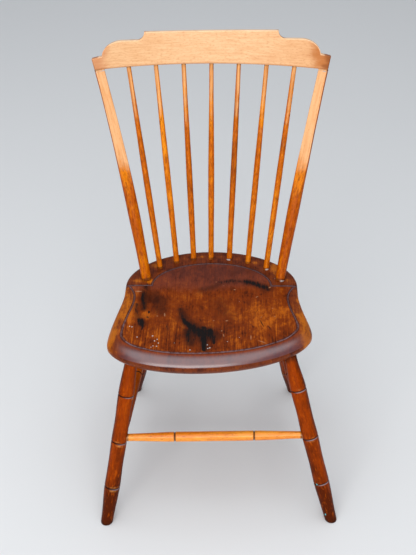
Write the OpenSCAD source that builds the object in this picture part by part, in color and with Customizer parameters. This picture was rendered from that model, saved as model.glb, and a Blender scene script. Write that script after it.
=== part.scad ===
// Step-down rod-back Windsor side chair with bamboo-turned legs.
// The seat is the heart of the chair: legs, posts and rods are all socketed into it.

/* [Seat] */
// Height of the seat's top face above the floor
seat_h = 414; // [400:1:430]
// Thickness of the seat plank
seat_t = 44; // [42:1:48]
// Half the width of the seat's front, at its widest
seat_half_w = 208; // [202:1:214]
// Half the width of the seat at the back posts
rear_half_w = 184; // [181:1:188]
// Depth that the saddle is carved below the rim
dish = 9; // [4:1:11]
// How far out of square the front was sawn, as a slope
front_skew = 0.08; // [0:0.01:0.1]

/* [Crest rail] */
// Height of the crest's lower edge at its middle
crest_z = 827; // [800:1:850]
// Distance of the crest's lower front edge behind the seat's centre
crest_y = 298; // [285:1:310]
// Backward tilt of the crest board in degrees
crest_tilt = 11.5; // [6:0.5:16]
// Radius of the crest's bent front face
crest_r = 500; // [470:5:700]
// Height of the raised tablet in the middle
tablet_h = 70.5; // [64:0.5:76]
// Half the width of the crest's lower edge
crest_half_w = 238; // [236:1:244]
// Thickness of the crest at its lower edge
crest_t = 18; // [17:0.5:20]
// Thickness of the crest at its top edge
crest_top_t = 13; // [11:0.5:14]

/* [Back posts and rods] */
// Diameter of the post where it enters the seat
post_d = 21; // [18:1:22]
// Diameter of the post at its swell
post_swell_d = 25; // [22:1:26]
// Spacing of the rods along the crest
rod_pitch = 57; // [52:0.5:58]
// Diameter of a rod where it enters the seat
rod_d = 12; // [10:0.5:12]
// Diameter of a rod at its swell
rod_swell_d = 13.2; // [12:0.2:14]
// Diameter of a rod where it enters the crest
rod_top_d = 9.2; // [8.4:0.2:10]

/* [Legs] */
// Diameter of a leg where it enters the seat
leg_top_d = 25; // [23:0.5:26]
// Diameter of a leg at its rings
leg_ring_d = 33; // [31:0.5:34]
// Diameter of a leg at the floor
leg_foot_d = 25; // [23:0.5:27]
// Sideways distance of the front left foot from the centre
foot_left = 223; // [210:1:240]
// Sideways distance of the front right foot, which splays wider
foot_right = 258; // [225:1:262]
// Sideways distance of both rear feet
foot_rear = 194; // [180:1:200]

/* [Stretchers] */
// Height of the front stretcher at its right end
front_stretcher_z = 197; // [190:1:205]
// Diameter of a stretcher at its middle
stretcher_d = 21; // [19:0.5:22]
// Diameter of a stretcher's end tenon
stretcher_tenon_d = 15.6; // [14:0.2:16]

/* [Joinery] */
// Clearance for glue around each tenon
glue_gap = 0.1; // [0.05:0.05:0.2]
// Depth of the leg and post sockets in the seat
leg_socket = 25; // [22:1:26]
// Depth of the rod sockets in the seat and in the crest
rod_socket = 20; // [16:1:22]

/* [Hidden] */
$fn = 48;

// Shift that puts the middle of the whole chair's footprint on the origin
centre_shift = [-13.9, -47.4, 0];
seat_bottom = seat_h - seat_t;
honey = "peru";
amber = "chocolate";
cherry = "sienna";

// Ease from 0 to 1 as t goes from 0 to 1
function ease(t) = t <= 0 ? 0 : t >= 1 ? 1 : t * t * (3 - 2 * t);
function unit(v) = v / norm(v);

// Seat outline: half an ellipse behind, a waisted side, half an ellipse in front
rear_y = 80;
rear_depth = 131;
front_y = -85;
front_depth = 93;
waist_y = 50;
outline_steps = 28;
side_steps = 8;
function side_x(y) =
    rear_half_w + (seat_half_w - rear_half_w) * ease((waist_y - y) / (waist_y - front_y));
function side_y(i) = rear_y + (front_y - rear_y) * i / side_steps;
// The whole front slants a little, from nothing at the middle to full at its edge
skew_reach = 100;
function skewed(p) = [p.x, p.y + front_skew * p.x * ease(-p.y / skew_reach)];
outline = [
    for (i = [0 : outline_steps])
        let (a = 180 * i / outline_steps)
        [rear_half_w * cos(a), rear_y + rear_depth * sin(a)],
    for (i = [1 : side_steps - 1]) [-side_x(side_y(i)), side_y(i)],
    for (i = [0 : outline_steps])
        let (a = 180 + 180 * i / outline_steps)
        [seat_half_w * cos(a), front_y + front_depth * sin(a)],
    for (i = [side_steps - 1 : -1 : 1]) [side_x(side_y(i)), side_y(i)]
];
seat_mid = [0, -10];

// Bores are turned by this much about their axes, which keeps their seams off other edges
seam_turn = 25;

// The edge is a broad roll in front and a small round behind
function frontness(o) = ease((40 - o.y) / 120);
function roll_w(o) = 0.04 + 0.14 * frontness(o);
function roll_h(o) = 4 + 15 * frontness(o);
function bevel(o) = 0.06 + 0.06 * frontness(o);
edge_band = 4;
function at(o, s) = seat_mid + s * (o - seat_mid);
saddle_inset = 43;
saddle_a = seat_half_w - saddle_inset;
saddle_b = 150;
saddle_y = 5;
function saddle(p) =
    let (r = pow(p.x / saddle_a, 2) + pow((p.y - saddle_y) / saddle_b, 2))
    r < 1 ? dish * pow(1 - r, 2) : 0;

// Rings of the seat's skin, from the underside round the edge to the middle of the top
roll_at = [1, 0.97, 0.88, 0.7, 0.45, 0];
top_rings = 7;
function lift(p, z) = let (q = skewed(p)) [q.x, q.y, z];
function bottom_ring(o) = lift(at(o, 1 - bevel(o)), seat_bottom);
function band_ring(o) = lift(at(o, 1), seat_h - roll_h(o) - edge_band);
function roll_ring(o, u) =
    lift(at(o, 1 - roll_w(o) * (1 - u)), seat_h - roll_h(o) * (1 - sqrt(1 - u * u)));
function top_ring(o, k) =
    let (p = at(o, (1 - roll_w(o)) * (1 - k / top_rings)))
    lift(p, seat_h - saddle(p));
seat_points = concat(
    [lift(seat_mid, seat_bottom)],
    [for (o = outline) bottom_ring(o)],
    [for (o = outline) band_ring(o)],
    [for (u = roll_at) for (o = outline) roll_ring(o, u)],
    [for (k = [1 : top_rings - 1]) for (o = outline) top_ring(o, k)],
    [lift(seat_mid, seat_h - saddle(seat_mid))]
);

// Triangles of a closed skin: one pole, rings of n points each, and another pole
function skin_faces(n, rings) = concat(
    [for (i = [0 : n - 1]) [0, 1 + i, 1 + (i + 1) % n]],
    [for (r = [0 : rings - 2]) for (i = [0 : n - 1])
        let (a = 1 + r * n + i, b = 1 + r * n + (i + 1) % n)
        each [[a, a + n, b], [b, a + n, b + n]]],
    [for (i = [0 : n - 1])
        let (base = 1 + (rings - 1) * n)
        [base + n, base + (i + 1) % n, base + i]]
);

// Scored lines that frame the carved saddle
score_w = 4.4;
score_depth = 2.6;
score_proud = 1;
platform_y = 78;
platform_inset = 56;
platform_half_w = rear_half_w - platform_inset;
platform_depth = 83;
score_front_y = -75;
score_inset = 29;
score_half_w = seat_half_w - score_inset;
score_front_depth = 74;
score_pinch = 17;
score_pinch_y = 33;
function score_side_x(y) = score_half_w - score_pinch * (
    y > score_pinch_y
        ? 1 - pow((y - score_pinch_y) / (platform_y - score_pinch_y), 2)
        : ease((y - score_front_y) / (score_pinch_y - score_front_y)));
platform_line = [
    for (i = [0 : 30])
        let (a = -1 + 182 * i / 30)
        [platform_half_w * cos(a), platform_y + platform_depth * sin(a)]
];
score_side_steps = 12;
function score_y(i) = platform_y + 1 + (score_front_y - platform_y - 1) * i / score_side_steps;
saddle_line = [
    for (i = [0 : score_side_steps - 1]) skewed([-score_side_x(score_y(i)), score_y(i)]),
    for (i = [0 : 30])
        let (a = 180 + 180 * i / 30)
        skewed([score_half_w * cos(a), score_front_y + score_front_depth * sin(a)]),
    for (i = [score_side_steps - 1 : -1 : 0]) skewed([score_side_x(score_y(i)), score_y(i)])
];

// V cutter that follows a line across the top of the seat
module v_cutter(line) {
    last = len(line) - 1;
    points = [
        for (i = [0 : last])
            let (
                t = unit(line[min(i + 1, last)] - line[max(i - 1, 0)]),
                side = [-t.y, t.x] * (score_w / 2) * (1 + score_proud / score_depth),
                p = line[i],
                top = seat_h + score_proud
            )
            each [
                [p.x + side.x, p.y + side.y, top],
                [p.x - side.x, p.y - side.y, top],
                [p.x, p.y, seat_h - score_depth]
            ]
    ];
    faces = concat(
        [[0, 1, 2]],
        [for (i = [0 : last - 1]) for (k = [0 : 2])
            let (a = 3 * i + k, b = 3 * i + (k + 1) % 3)
            each [[a, a + 3, b], [b, a + 3, b + 3]]],
        [[3 * last + 2, 3 * last + 1, 3 * last]]
    );
    polyhedron(points, faces);
}

// Straight end of the platform line, from the saddle's corner out past the edge
module straight_score(side) {
    length = rear_half_w - platform_half_w + 8;
    size = (score_depth + 0.4) * sqrt(2);
    translate([side * (platform_half_w + length / 2 - 2), platform_y, seat_h])
        rotate([45, 0, 0])
        cube([length, size, size], center = true);
}

// Stand the children, drawn up the z axis, on point a and lean them towards point b
module along(a, b) {
    d = b - a;
    translate(a)
        rotate([0, acos(d.z / norm(d)), atan2(d.y, d.x)])
        children();
}

// Crest frame: x along the board, y through its thickness, z up its face
module crest_frame() {
    translate([0, crest_y, crest_z])
        rotate([-crest_tilt, 0, 0])
        children();
}
function crest_point(x, depth, up) =
    let (y = sqrt(crest_r * crest_r - x * x) - crest_r + depth)
    [
        x,
        crest_y + y * cos(crest_tilt) + up * sin(crest_tilt),
        crest_z - y * sin(crest_tilt) + up * cos(crest_tilt)
    ];

// Rods and posts run from the seat's top face to the crest's underside
rod_inset = 34;
rod_arc_a = rear_half_w - rod_inset;
rod_arc_b = 105;
rod_arc_y = 78.5;
rod_spread = 0.26;
// The rods were bored by eye: each foot and head strays a little sideways
rod_foot_stray = [2.5, -1, -2.5, -3, -1.5, 1, 1.5];
rod_head_stray = [-1, -2.5, -2, -0.5, 0, 1, 1];
function rod_x(k) = k * rod_spread * rod_arc_a + rod_foot_stray[k + 3];
function rod_foot(k) =
    [rod_x(k), rod_arc_y + rod_arc_b * sqrt(1 - pow(rod_x(k) / rod_arc_a, 2)), seat_h];
function rod_head(k) = crest_point(k * rod_pitch + rod_head_stray[k + 3], crest_t / 2, 0);
left_post_inset = 42.5;
right_post_inset = 36.5;
function post_foot_x(side) = rear_half_w - (side < 0 ? left_post_inset : right_post_inset);
post_foot_y = 103;
post_head_inset = 8;
post_head_x = crest_half_w - post_head_inset;
function post_foot(side) = [side * post_foot_x(side), post_foot_y, seat_h];
function post_head(side) = crest_point(side * post_head_x, crest_t / 2, 0);
post_tenon_d = 10;

// Legs: where each axis meets the seat's underside and the floor
left_leg_inset = 49.5;
right_leg_inset = 45;
front_top_y = -105;
rear_leg_inset = 60;
rear_top_x = rear_half_w - rear_leg_inset;
rear_top_y = 118;
front_left_foot_y = -217;
front_right_foot_y = -204;
rear_foot_y = 212;
front_left = [
    [left_leg_inset - seat_half_w, front_top_y, seat_bottom],
    [-foot_left, front_left_foot_y, 0]
];
front_right = [
    [seat_half_w - right_leg_inset, front_top_y, seat_bottom],
    [foot_right, front_right_foot_y, 0]
];
rear_left = [[-rear_top_x, rear_top_y, seat_bottom], [-foot_rear, rear_foot_y, 0]];
rear_right = [[rear_top_x, rear_top_y, seat_bottom], [foot_rear, rear_foot_y, 0]];
function on_leg(leg, z) = leg[1] + (leg[0] - leg[1]) * z / seat_bottom;

// Stretchers: each is [leg, height on it, leg, height on it]
front_drop = 5;
front_left_z = front_stretcher_z - front_drop;
side_front_z = 150;
side_rear_z = 180;
rear_stretcher_z = 206;
front_run = [front_left, front_left_z, front_right, front_stretcher_z];
rear_run = [rear_left, rear_stretcher_z, rear_right, rear_stretcher_z];
left_run = [front_left, side_front_z, rear_left, side_rear_z];
right_run = [front_right, side_front_z, rear_right, side_rear_z];
// A stretcher's tenon stops this far short of the leg's axis
tenon_stop = 2;

// Turned leg, from its foot at z 0 to the end of its tenon; rings are scored lines.
// Each leg was turned by eye and cut to stand level, so its rings, given as shares of its
// length, sit at their own heights.
front_left_rings = [0.225, 0.5, 0.775];
front_right_rings = [0.245, 0.523, 0.81];
rear_rings = [0.227, 0.505, 0.786];
ring_cut = 1.8;
ring_half_w = 2.3;
waist_cut = 0.9;
// The taper above the top ring ends this far short of the seat, whose socket is the tenon's size
leg_shoulder = 8;
function leg_r(z, length, ring_z) =
    z < ring_z[0]
        ? leg_foot_d / 2 + (leg_ring_d - leg_foot_d) / 2 * ease(z / ring_z[0] * 0.9 + 0.05)
        : z > ring_z[2]
            ? leg_ring_d / 2 - (leg_ring_d - leg_top_d) / 2
                * ease((z - ring_z[2]) / (length - leg_shoulder - ring_z[2]))
            : leg_ring_d / 2 - waist_cut
                * pow(sin(180 * (z - ring_z[0]) / (ring_z[1] - ring_z[0])), 2);
module turned_leg(leg, rings) {
    length = norm(leg[0] - leg[1]);
    ring_z = rings * length;
    below_floor = 8;
    steps = 8;
    spans = [for (i = [0 : 3]) [
        i == 0 ? 0 : ring_z[i - 1] + ring_half_w,
        i == 3 ? length : ring_z[i] - ring_half_w
    ]];
    profile = [
        [0, -below_floor],
        [leg_foot_d / 2, -below_floor],
        for (i = [0 : 3]) each [
            for (j = [0 : steps])
                let (z = spans[i][0] + (spans[i][1] - spans[i][0]) * j / steps)
                [leg_r(z, length, ring_z), z],
            if (i < 3) [leg_ring_d / 2 - ring_cut, ring_z[i]]
        ],
        [leg_top_d / 2, length + leg_socket - 1],
        [0, length + leg_socket - 1]
    ];
    along(leg[1], leg[0])
        rotate([0, 0, 180])
        rotate_extrude()
        polygon(profile);
}

// Drill a stretcher's socket into the leg at one end of its run
module stretcher_socket(from, to) {
    d = unit(to - from);
    along(from + d * (tenon_stop - 1), to)
        rotate([0, 0, seam_turn])
        cylinder(d = stretcher_tenon_d + 2 * glue_gap, h = leg_ring_d);
}
module leg(leg, rings, across, across_z, along_leg, along_z) {
    floor_size = 120;
    difference() {
        turned_leg(leg, rings);
        translate([leg[1].x, leg[1].y, -floor_size / 2])
            cube(floor_size, center = true);
        stretcher_socket(on_leg(leg, across_z[0]), on_leg(across, across_z[1]));
        stretcher_socket(on_leg(leg, along_z[0]), on_leg(along_leg, along_z[1]));
    }
}

// Turned stretcher with two scored rings, thickest in the middle
stretcher_ring_at = 0.292;
module stretcher(run) {
    a = on_leg(run[0], run[1]);
    b = on_leg(run[2], run[3]);
    length = norm(b - a);
    steps = 24;
    taper = 0.3;
    hidden = leg_ring_d / 2 + 1;
    start = hidden;
    end = length - hidden;
    function r(z) = stretcher_tenon_d / 2 + (stretcher_d - stretcher_tenon_d) / 2
        * ease(min(z - start, end - z) / (end - start) / taper);
    function near_ring(z, at) = abs(z - at) < ring_half_w;
    rings = [length * stretcher_ring_at, length * (1 - stretcher_ring_at)];
    body = [
        for (i = [0 : steps])
            let (z = start + (end - start) * i / steps)
            if (!near_ring(z, rings[0]) && !near_ring(z, rings[1])) [r(z), z]
    ];
    profile = [
        [0, tenon_stop],
        [stretcher_tenon_d / 2, tenon_stop],
        for (p = body) if (p.y < rings[0]) p,
        [r(rings[0]), rings[0] - ring_half_w],
        [r(rings[0]) - ring_cut, rings[0]],
        [r(rings[0]), rings[0] + ring_half_w],
        for (p = body) if (p.y > rings[0] && p.y < rings[1]) p,
        [r(rings[1]), rings[1] - ring_half_w],
        [r(rings[1]) - ring_cut, rings[1]],
        [r(rings[1]), rings[1] + ring_half_w],
        for (p = body) if (p.y > rings[1]) p,
        [stretcher_tenon_d / 2, length - tenon_stop],
        [0, length - tenon_stop]
    ];
    along(a, b)
        rotate_extrude()
        polygon(profile);
}

// Straight rod, swelled below its middle and slimmest at the crest
rod_swell_at = 0.38;
function rod_r(t) = t < rod_swell_at
    ? rod_d / 2 + (rod_swell_d - rod_d) / 2 * ease(t / rod_swell_at)
    : rod_swell_d / 2 - (rod_swell_d - rod_top_d) / 2
        * ease((t - rod_swell_at) / (1 - rod_swell_at));
module rod(k) {
    a = rod_foot(k);
    b = rod_head(k);
    length = norm(b - a);
    steps = 16;
    tenon = rod_socket - 1;
    along(a, b)
        rotate_extrude()
        polygon([
            [0, -tenon],
            [rod_d / 2, -tenon],
            for (i = [0 : steps]) [rod_r(i / steps), length * i / steps],
            [rod_top_d / 2, length + tenon],
            [0, length + tenon]
        ]);
}

// Back post: round below, shaved flat in front above, and flared out towards the top
post_top_d = 20;
post_flat = 5;
// The left post has warped further inwards than the right
left_post_flare = 5;
right_post_flare = 2;
// Each flat is turned inwards by this much, to meet the bent crest
post_turn = 22;
post_flat_from = 0.3;
post_flat_full = 0.62;
post_swell_at = 0.36;
function post_r(t) = t < post_swell_at
    ? post_d / 2 + (post_swell_d - post_d) / 2 * ease(t / post_swell_at)
    : post_swell_d / 2 - (post_swell_d - post_top_d) / 2
        * ease((t - post_swell_at) / (1 - post_swell_at));
function post_front(t) =
    let (shaved = ease((t - post_flat_from) / (post_flat_full - post_flat_from)))
    post_r(t) + (post_flat - post_r(t)) * shaved;
module post(side) {
    a = post_foot(side);
    b = post_head(side);
    up = unit(b - a);
    across = unit(cross([0, 1, 0], up));
    back = cross(up, across);
    flat_across = across * cos(post_turn) - back * side * sin(post_turn);
    flat_back = back * cos(post_turn) + across * side * sin(post_turn);
    length = norm(b - a);
    overrun = 14;
    sides = 20;
    rings = 22;
    // The swept body starts a little up its round tenon, as a slight step, and runs on past
    // the crest's underside, where it is cut off flush
    start = 6;
    step = 0.3;
    flare = side < 0 ? left_post_flare : right_post_flare;
    function ring_h(i) = start + (length + overrun - start) * i / (rings - 1);
    points = [
        a + up * start,
        for (i = [0 : rings - 1])
            let (
                h = ring_h(i),
                t = min(h / length, 1),
                inward = -side * flare * 4 * t * (1 - t)
            )
            for (j = [0 : sides - 1])
                let (
                    angle = 360 * j / sides,
                    r = post_r(t) + step,
                    u = r * cos(angle),
                    v = max(r * sin(angle), -post_front(t))
                )
                a + up * h + across * inward + flat_across * u + flat_back * v,
        a + up * (length + overrun)
    ];
    difference() {
        union() {
            polyhedron(points, skin_faces(sides, rings));
            along(a - up * (leg_socket - 1), b)
                cylinder(d = post_d, h = leg_socket + 2 * start);
        }
        crest_frame()
            translate([side * post_head_x, 0, 100 - glue_gap])
            cube([80, 200, 200], center = true);
    }
    along(b - up * 4, b + up)
        cylinder(d = post_tenon_d, h = rod_socket + 3);
}

// Crest rail: a bent board, thinner at the top, sawn to a stepped outline
ear_h = 25;
ear_flare = 5;
ear_half_w = crest_half_w + ear_flare;
notch_inset = 15;
notch_x = crest_half_w - notch_inset;
notch_h = 28;
shoulder_inset = 52;
shoulder_x = crest_half_w - shoulder_inset;
shoulder_h = 56;
cove_inset = 86;
cove_x = crest_half_w - cove_inset;
cove_h = 54.5;
tablet_inset = 100;
tablet_half_w = crest_half_w - tablet_inset;
curve_steps = 10;
crest_side = [
    [crest_half_w, -1],
    [ear_half_w, ear_h],
    [notch_x, notch_h],
    for (i = [1 : curve_steps])
        let (a = 90 * i / curve_steps)
        [
            shoulder_x + (notch_x - shoulder_x) * cos(a),
            notch_h + (shoulder_h - notch_h) * sin(a)
        ],
    for (i = [0 : curve_steps])
        let (a = 90 * i / curve_steps)
        [
            cove_x - (cove_x - tablet_half_w) * sin(a),
            tablet_h - (tablet_h - cove_h) * cos(a)
        ]
];
// The stepped outline was sawn a little out of level, higher on the right
crest_skew = 0.0095;
function sawn(p, side) = [side * p.x, p.y + (p.y > 0 ? side * crest_skew * p.x : 0)];
// The tablet's top edge is a little hollow
tablet_hollow = 2.3;
tablet_steps = [0.8, 0.6, 0.4, 0.2, 0, -0.2, -0.4, -0.6, -0.8];
tablet_edge = [
    for (t = tablet_steps) [t * tablet_half_w, tablet_h - tablet_hollow * (1 - t * t)]
];
crest_outline = concat(
    [for (p = crest_side) sawn(p, 1)],
    [for (p = tablet_edge) sawn(p, 1)],
    [for (i = [len(crest_side) - 1 : -1 : 0]) sawn(crest_side[i], -1)]
);
module crest_board() {
    spare = 2;
    sweep = 2 * asin((ear_half_w + spare) / crest_r);
    intersection() {
        translate([0, -crest_r, 0])
            rotate([0, 0, 90 - sweep / 2])
            rotate_extrude(angle = sweep, $fn = 180)
            polygon([
                [crest_r, 0],
                [crest_r + crest_t, 0],
                [crest_r + crest_top_t, tablet_h + spare],
                [crest_r, tablet_h + spare]
            ]);
        translate([0, 100, 0])
            rotate([90, 0, 0])
            linear_extrude(height = 300)
            polygon(crest_outline);
    }
}

module seat() {
    color(cherry)
        translate(centre_shift)
        difference() {
            polyhedron(seat_points, skin_faces(len(outline), len(roll_at) + top_rings + 1));
            v_cutter(platform_line);
            v_cutter(saddle_line);
            straight_score(-1);
            straight_score(1);
            for (k = [-3 : 3])
                along(rod_foot(k), rod_head(k))
                rotate([0, 0, seam_turn])
                translate([0, 0, -rod_socket])
                cylinder(d = rod_d + 2 * glue_gap, h = 2 * rod_socket);
            for (side = [-1, 1])
                along(post_foot(side), post_head(side))
                rotate([0, 0, seam_turn])
                translate([0, 0, -leg_socket])
                cylinder(d = post_d + 2 * glue_gap, h = 2 * leg_socket);
            for (leg = [front_left, front_right, rear_left, rear_right])
                along(leg[0], 2 * leg[0] - leg[1])
                rotate([0, 0, seam_turn])
                translate([0, 0, -leg_socket])
                cylinder(d = leg_top_d + 2 * glue_gap, h = 2 * leg_socket);
        }
}

module crest_rail() {
    color(honey)
        translate(centre_shift)
        difference() {
            crest_frame() crest_board();
            for (k = [-3 : 3])
                along(rod_head(k), 2 * rod_head(k) - rod_foot(k))
                translate([0, 0, -rod_socket])
                cylinder(d = rod_top_d + 2 * glue_gap, h = 2 * rod_socket);
            for (side = [-1, 1])
                along(post_head(side), 2 * post_head(side) - post_foot(side))
                translate([0, 0, -rod_socket])
                cylinder(d = post_tenon_d + 2 * glue_gap, h = 2 * rod_socket);
        }
}

module left_post() {
    color(amber) translate(centre_shift) post(-1);
}

module right_post() {
    color(amber) translate(centre_shift) post(1);
}

module back_rod(k) {
    color(amber) translate(centre_shift) rod(k);
}

module front_left_leg() {
    color(amber)
        translate(centre_shift)
        leg(
            front_left, front_left_rings,
            front_right, [front_left_z, front_stretcher_z],
            rear_left, [side_front_z, side_rear_z]
        );
}

module front_right_leg() {
    color(amber)
        translate(centre_shift)
        leg(
            front_right, front_right_rings,
            front_left, [front_stretcher_z, front_left_z],
            rear_right, [side_front_z, side_rear_z]
        );
}

module rear_left_leg() {
    color(amber)
        translate(centre_shift)
        leg(
            rear_left, rear_rings,
            rear_right, [rear_stretcher_z, rear_stretcher_z],
            front_left, [side_rear_z, side_front_z]
        );
}

module rear_right_leg() {
    color(amber)
        translate(centre_shift)
        leg(
            rear_right, rear_rings,
            rear_left, [rear_stretcher_z, rear_stretcher_z],
            front_right, [side_rear_z, side_front_z]
        );
}

module chair_stretcher(run) {
    color(amber) translate(centre_shift) stretcher(run);
}

seat();
crest_rail();
left_post();
right_post();
back_rod(-3);  // rod_1
back_rod(-2);  // rod_2
back_rod(-1);  // rod_3
back_rod(0);  // rod_4
back_rod(1);  // rod_5
back_rod(2);  // rod_6
back_rod(3);  // rod_7
front_left_leg();
front_right_leg();
rear_left_leg();
rear_right_leg();
chair_stretcher(front_run);  // front_stretcher
chair_stretcher(rear_run);  // rear_stretcher
chair_stretcher(left_run);  // left_stretcher
chair_stretcher(right_run);  // right_stretcher
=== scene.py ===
import bpy
import numpy as np
from mathutils import Matrix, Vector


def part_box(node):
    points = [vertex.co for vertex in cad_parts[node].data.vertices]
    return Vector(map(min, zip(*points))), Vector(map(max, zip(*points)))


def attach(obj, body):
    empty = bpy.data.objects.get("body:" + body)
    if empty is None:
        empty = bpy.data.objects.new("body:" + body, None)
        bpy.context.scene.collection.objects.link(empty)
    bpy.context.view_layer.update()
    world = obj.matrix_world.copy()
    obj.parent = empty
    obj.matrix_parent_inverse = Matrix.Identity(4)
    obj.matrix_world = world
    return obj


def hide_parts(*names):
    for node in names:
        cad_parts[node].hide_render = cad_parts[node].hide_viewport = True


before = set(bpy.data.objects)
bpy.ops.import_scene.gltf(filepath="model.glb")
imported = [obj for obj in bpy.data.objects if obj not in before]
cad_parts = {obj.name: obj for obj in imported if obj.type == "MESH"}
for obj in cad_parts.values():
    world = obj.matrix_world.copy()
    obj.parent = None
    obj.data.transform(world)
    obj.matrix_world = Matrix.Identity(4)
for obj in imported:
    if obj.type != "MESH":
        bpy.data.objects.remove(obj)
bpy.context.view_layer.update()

# ---------------------------------------------------------------------------
# Camera, floor and lights
# The chair is seen from in front, from about the eye height of someone standing.
# It stands on a plain pale floor, lit by two large soft panels, a weaker one
# behind it, and a dim, even room.
# ---------------------------------------------------------------------------
camera_spot = (0.0381, -1.8034, 1.735)
camera_yaw, camera_pitch, camera_roll = -0.03224, -0.6164, -0.01502
camera_lens_mm = 68.3


def camera_turn(yaw, pitch, roll):
    """Rotation whose columns are the camera's right, up and backward directions: a heading
    turned yaw from +Y towards +X, tipped pitch above the horizon, then rolled about itself."""
    ahead = np.array(
        [np.sin(yaw) * np.cos(pitch), np.cos(yaw) * np.cos(pitch), np.sin(pitch)]
    )
    right = np.array([np.cos(yaw), -np.sin(yaw), 0.0])
    up = np.cross(right, ahead)
    level, upright = right.copy(), up.copy()
    right = np.cos(roll) * level + np.sin(roll) * upright
    up = -np.sin(roll) * level + np.cos(roll) * upright
    return np.column_stack([right, up, -ahead])


camera = bpy.data.objects.new("camera", bpy.data.cameras.new("camera"))
camera.data.lens = camera_lens_mm
camera.data.sensor_width = 36.0
camera.data.clip_start, camera.data.clip_end = 0.05, 100.0
stance = np.eye(4)
stance[:3, :3] = camera_turn(camera_yaw, camera_pitch, camera_roll)
stance[:3, 3] = camera_spot
camera.matrix_world = Matrix(stance.tolist())
bpy.context.scene.collection.objects.link(camera)
bpy.context.scene.camera = camera
bpy.context.scene.view_settings.view_transform = "Standard"

room = bpy.data.worlds.new("room")
room.use_nodes = True
room_light = room.node_tree.nodes["Background"].inputs
room_light["Color"].default_value = (0.86, 0.92, 1.0, 1)
room_light["Strength"].default_value = 0.32
bpy.context.scene.world = room


def soft_panel(name, spot, aim, width, height, watts, colour):
    """Rectangular light of that width and height at spot, facing aim."""
    light = bpy.data.lights.new(name, "AREA")
    light.shape = "RECTANGLE"
    light.size, light.size_y = width, height
    light.energy = watts
    light.color = colour
    lamp = bpy.data.objects.new(name, light)
    away = np.array(spot, float) - np.array(aim, float)
    away /= np.linalg.norm(away)
    side = np.cross([0.0, 1.0, 0.0] if abs(away[2]) > 0.9 else [0.0, 0.0, 1.0], away)
    side /= np.linalg.norm(side)
    stand = np.eye(4)
    stand[:3, :3] = np.column_stack([side, np.cross(away, side), away])
    stand[:3, 3] = spot
    lamp.matrix_world = Matrix(stand.tolist())
    lamp.visible_camera = False
    bpy.context.scene.collection.objects.link(lamp)
    return lamp


soft_panel("top_panel", (-0.2, -1.1, 3.5), (-0.2, -1.1, 0), 4.6, 5.0, 108, (0.96, 0.98, 1.0))
soft_panel("front_panel", (-0.5, -4.4, 2.3), (0, 0, 0.5), 4.4, 2.6, 158, (1.0, 0.985, 0.96))
far_panel = soft_panel(
    "far_panel", (0, 3.6, 3.0), (0, 3.6, 0), 7.0, 3.0, 24, (1.0, 1.0, 1.0)
)
far_panel.visible_glossy = False

floor_radius, floor_sides = 30.0, 64
floor_drop = 0.0004  # a hair below the feet, so that the two faces don't coincide
around = np.linspace(0, 2 * np.pi, floor_sides, endpoint=False)
floor_rim = np.column_stack(
    [floor_radius * np.cos(around), floor_radius * np.sin(around), 0 * around - floor_drop]
)
floor_mesh = bpy.data.meshes.new("floor")
floor_mesh.from_pydata(floor_rim.tolist(), [], [list(range(floor_sides))])
floor = bpy.data.objects.new("floor", floor_mesh)
bpy.context.scene.collection.objects.link(floor)
paper = bpy.data.materials.new("pale_floor")
paper.use_nodes = True
paper_shader = paper.node_tree.nodes["Principled BSDF"].inputs
paper_shader["Base Color"].default_value = (0.74, 0.745, 0.75, 1)
paper_shader["Roughness"].default_value = 0.85
paper_shader["Specular IOR Level"].default_value = 0.2
floor_mesh.materials.append(paper)


# ---------------------------------------------------------------------------
# Seat
# One thick pine plank, sawn to a shield shape and scooped by hand. A scored line
# frames the saddle and the raised platform behind it. The stain has worn to amber
# where people sat, and burns, ink and paint specks mark the top.
# ---------------------------------------------------------------------------
seat_h, seat_t = 414.0, 44.0
seat_half_w, rear_half_w = 208.0, 184.0
rear_y, rear_depth = 80.0, 131.0
front_y, front_depth = -85.0, 93.0
waist_y = 50.0
front_skew, skew_reach = 0.08, 100.0
seat_mid = np.array([0.0, -10.0])
# The saddle's depth, its two half sizes and its middle
dish, saddle_a, saddle_b, saddle_y = 9.0, 165.0, 150.0, 5.0
# The scored lines' cut, the platform's arc and the line round the saddle
score_w, score_depth = 4.4, 2.6
platform_y, platform_half_w, platform_depth = 78.0, 128.0, 83.0
score_front_y, score_half_w, score_front_depth = -75.0, 179.0, 74.0
score_pinch, score_pinch_y = 17.0, 33.0
# The plank's straight band above its undercut, and the last of the rows on its side
side_band, last_side_row = 4.0, 20

# Sizes here are in millimetres about the chair's own middle line. The CAD seat says
# where that line lies in the row frame.
seat_low, seat_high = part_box("seat")
chair_origin = np.array(
    [(seat_low[0] + seat_high[0]) / 2, seat_high[1] - (rear_y + rear_depth) / 1000, 0.0]
)


def in_frame(points):
    """Chair millimetres as row frame metres: a thousandth, moved to the chair's origin."""
    return points / 1000.0 + chair_origin


def ease(t):
    """Smooth step: 3 t squared less 2 t cubed, with t held between 0 and 1."""
    t = np.clip(t, 0, 1)
    return t * t * (3 - 2 * t)


def waves(x, y, lengths, seed):
    """Gentle unevenness from -1 to 1: the mean of sine waves of those lengths, each in its
    own fixed random direction and phase."""
    draw = np.random.default_rng(seed)
    total = 0
    for length in lengths:
        turn, phase = draw.uniform(0, 2 * np.pi, 2)
        run = x * np.cos(turn) + y * np.sin(turn)
        total = total + np.sin(2 * np.pi * run / length + phase)
    return total / len(lengths)


def skewed(points):
    """The front of the plank was sawn out of square: y grows by a share of x that fades in
    over the front hundred millimetres."""
    out = points.copy()
    out[..., 1] += front_skew * points[..., 0] * ease(-points[..., 1] / skew_reach)
    return out


def walk(line, run, at):
    """Points at the distances at along a line of joined points, whose own distances are
    run."""
    return np.column_stack([np.interp(at, run, line[:, 0]), np.interp(at, run, line[:, 1])])


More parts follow.
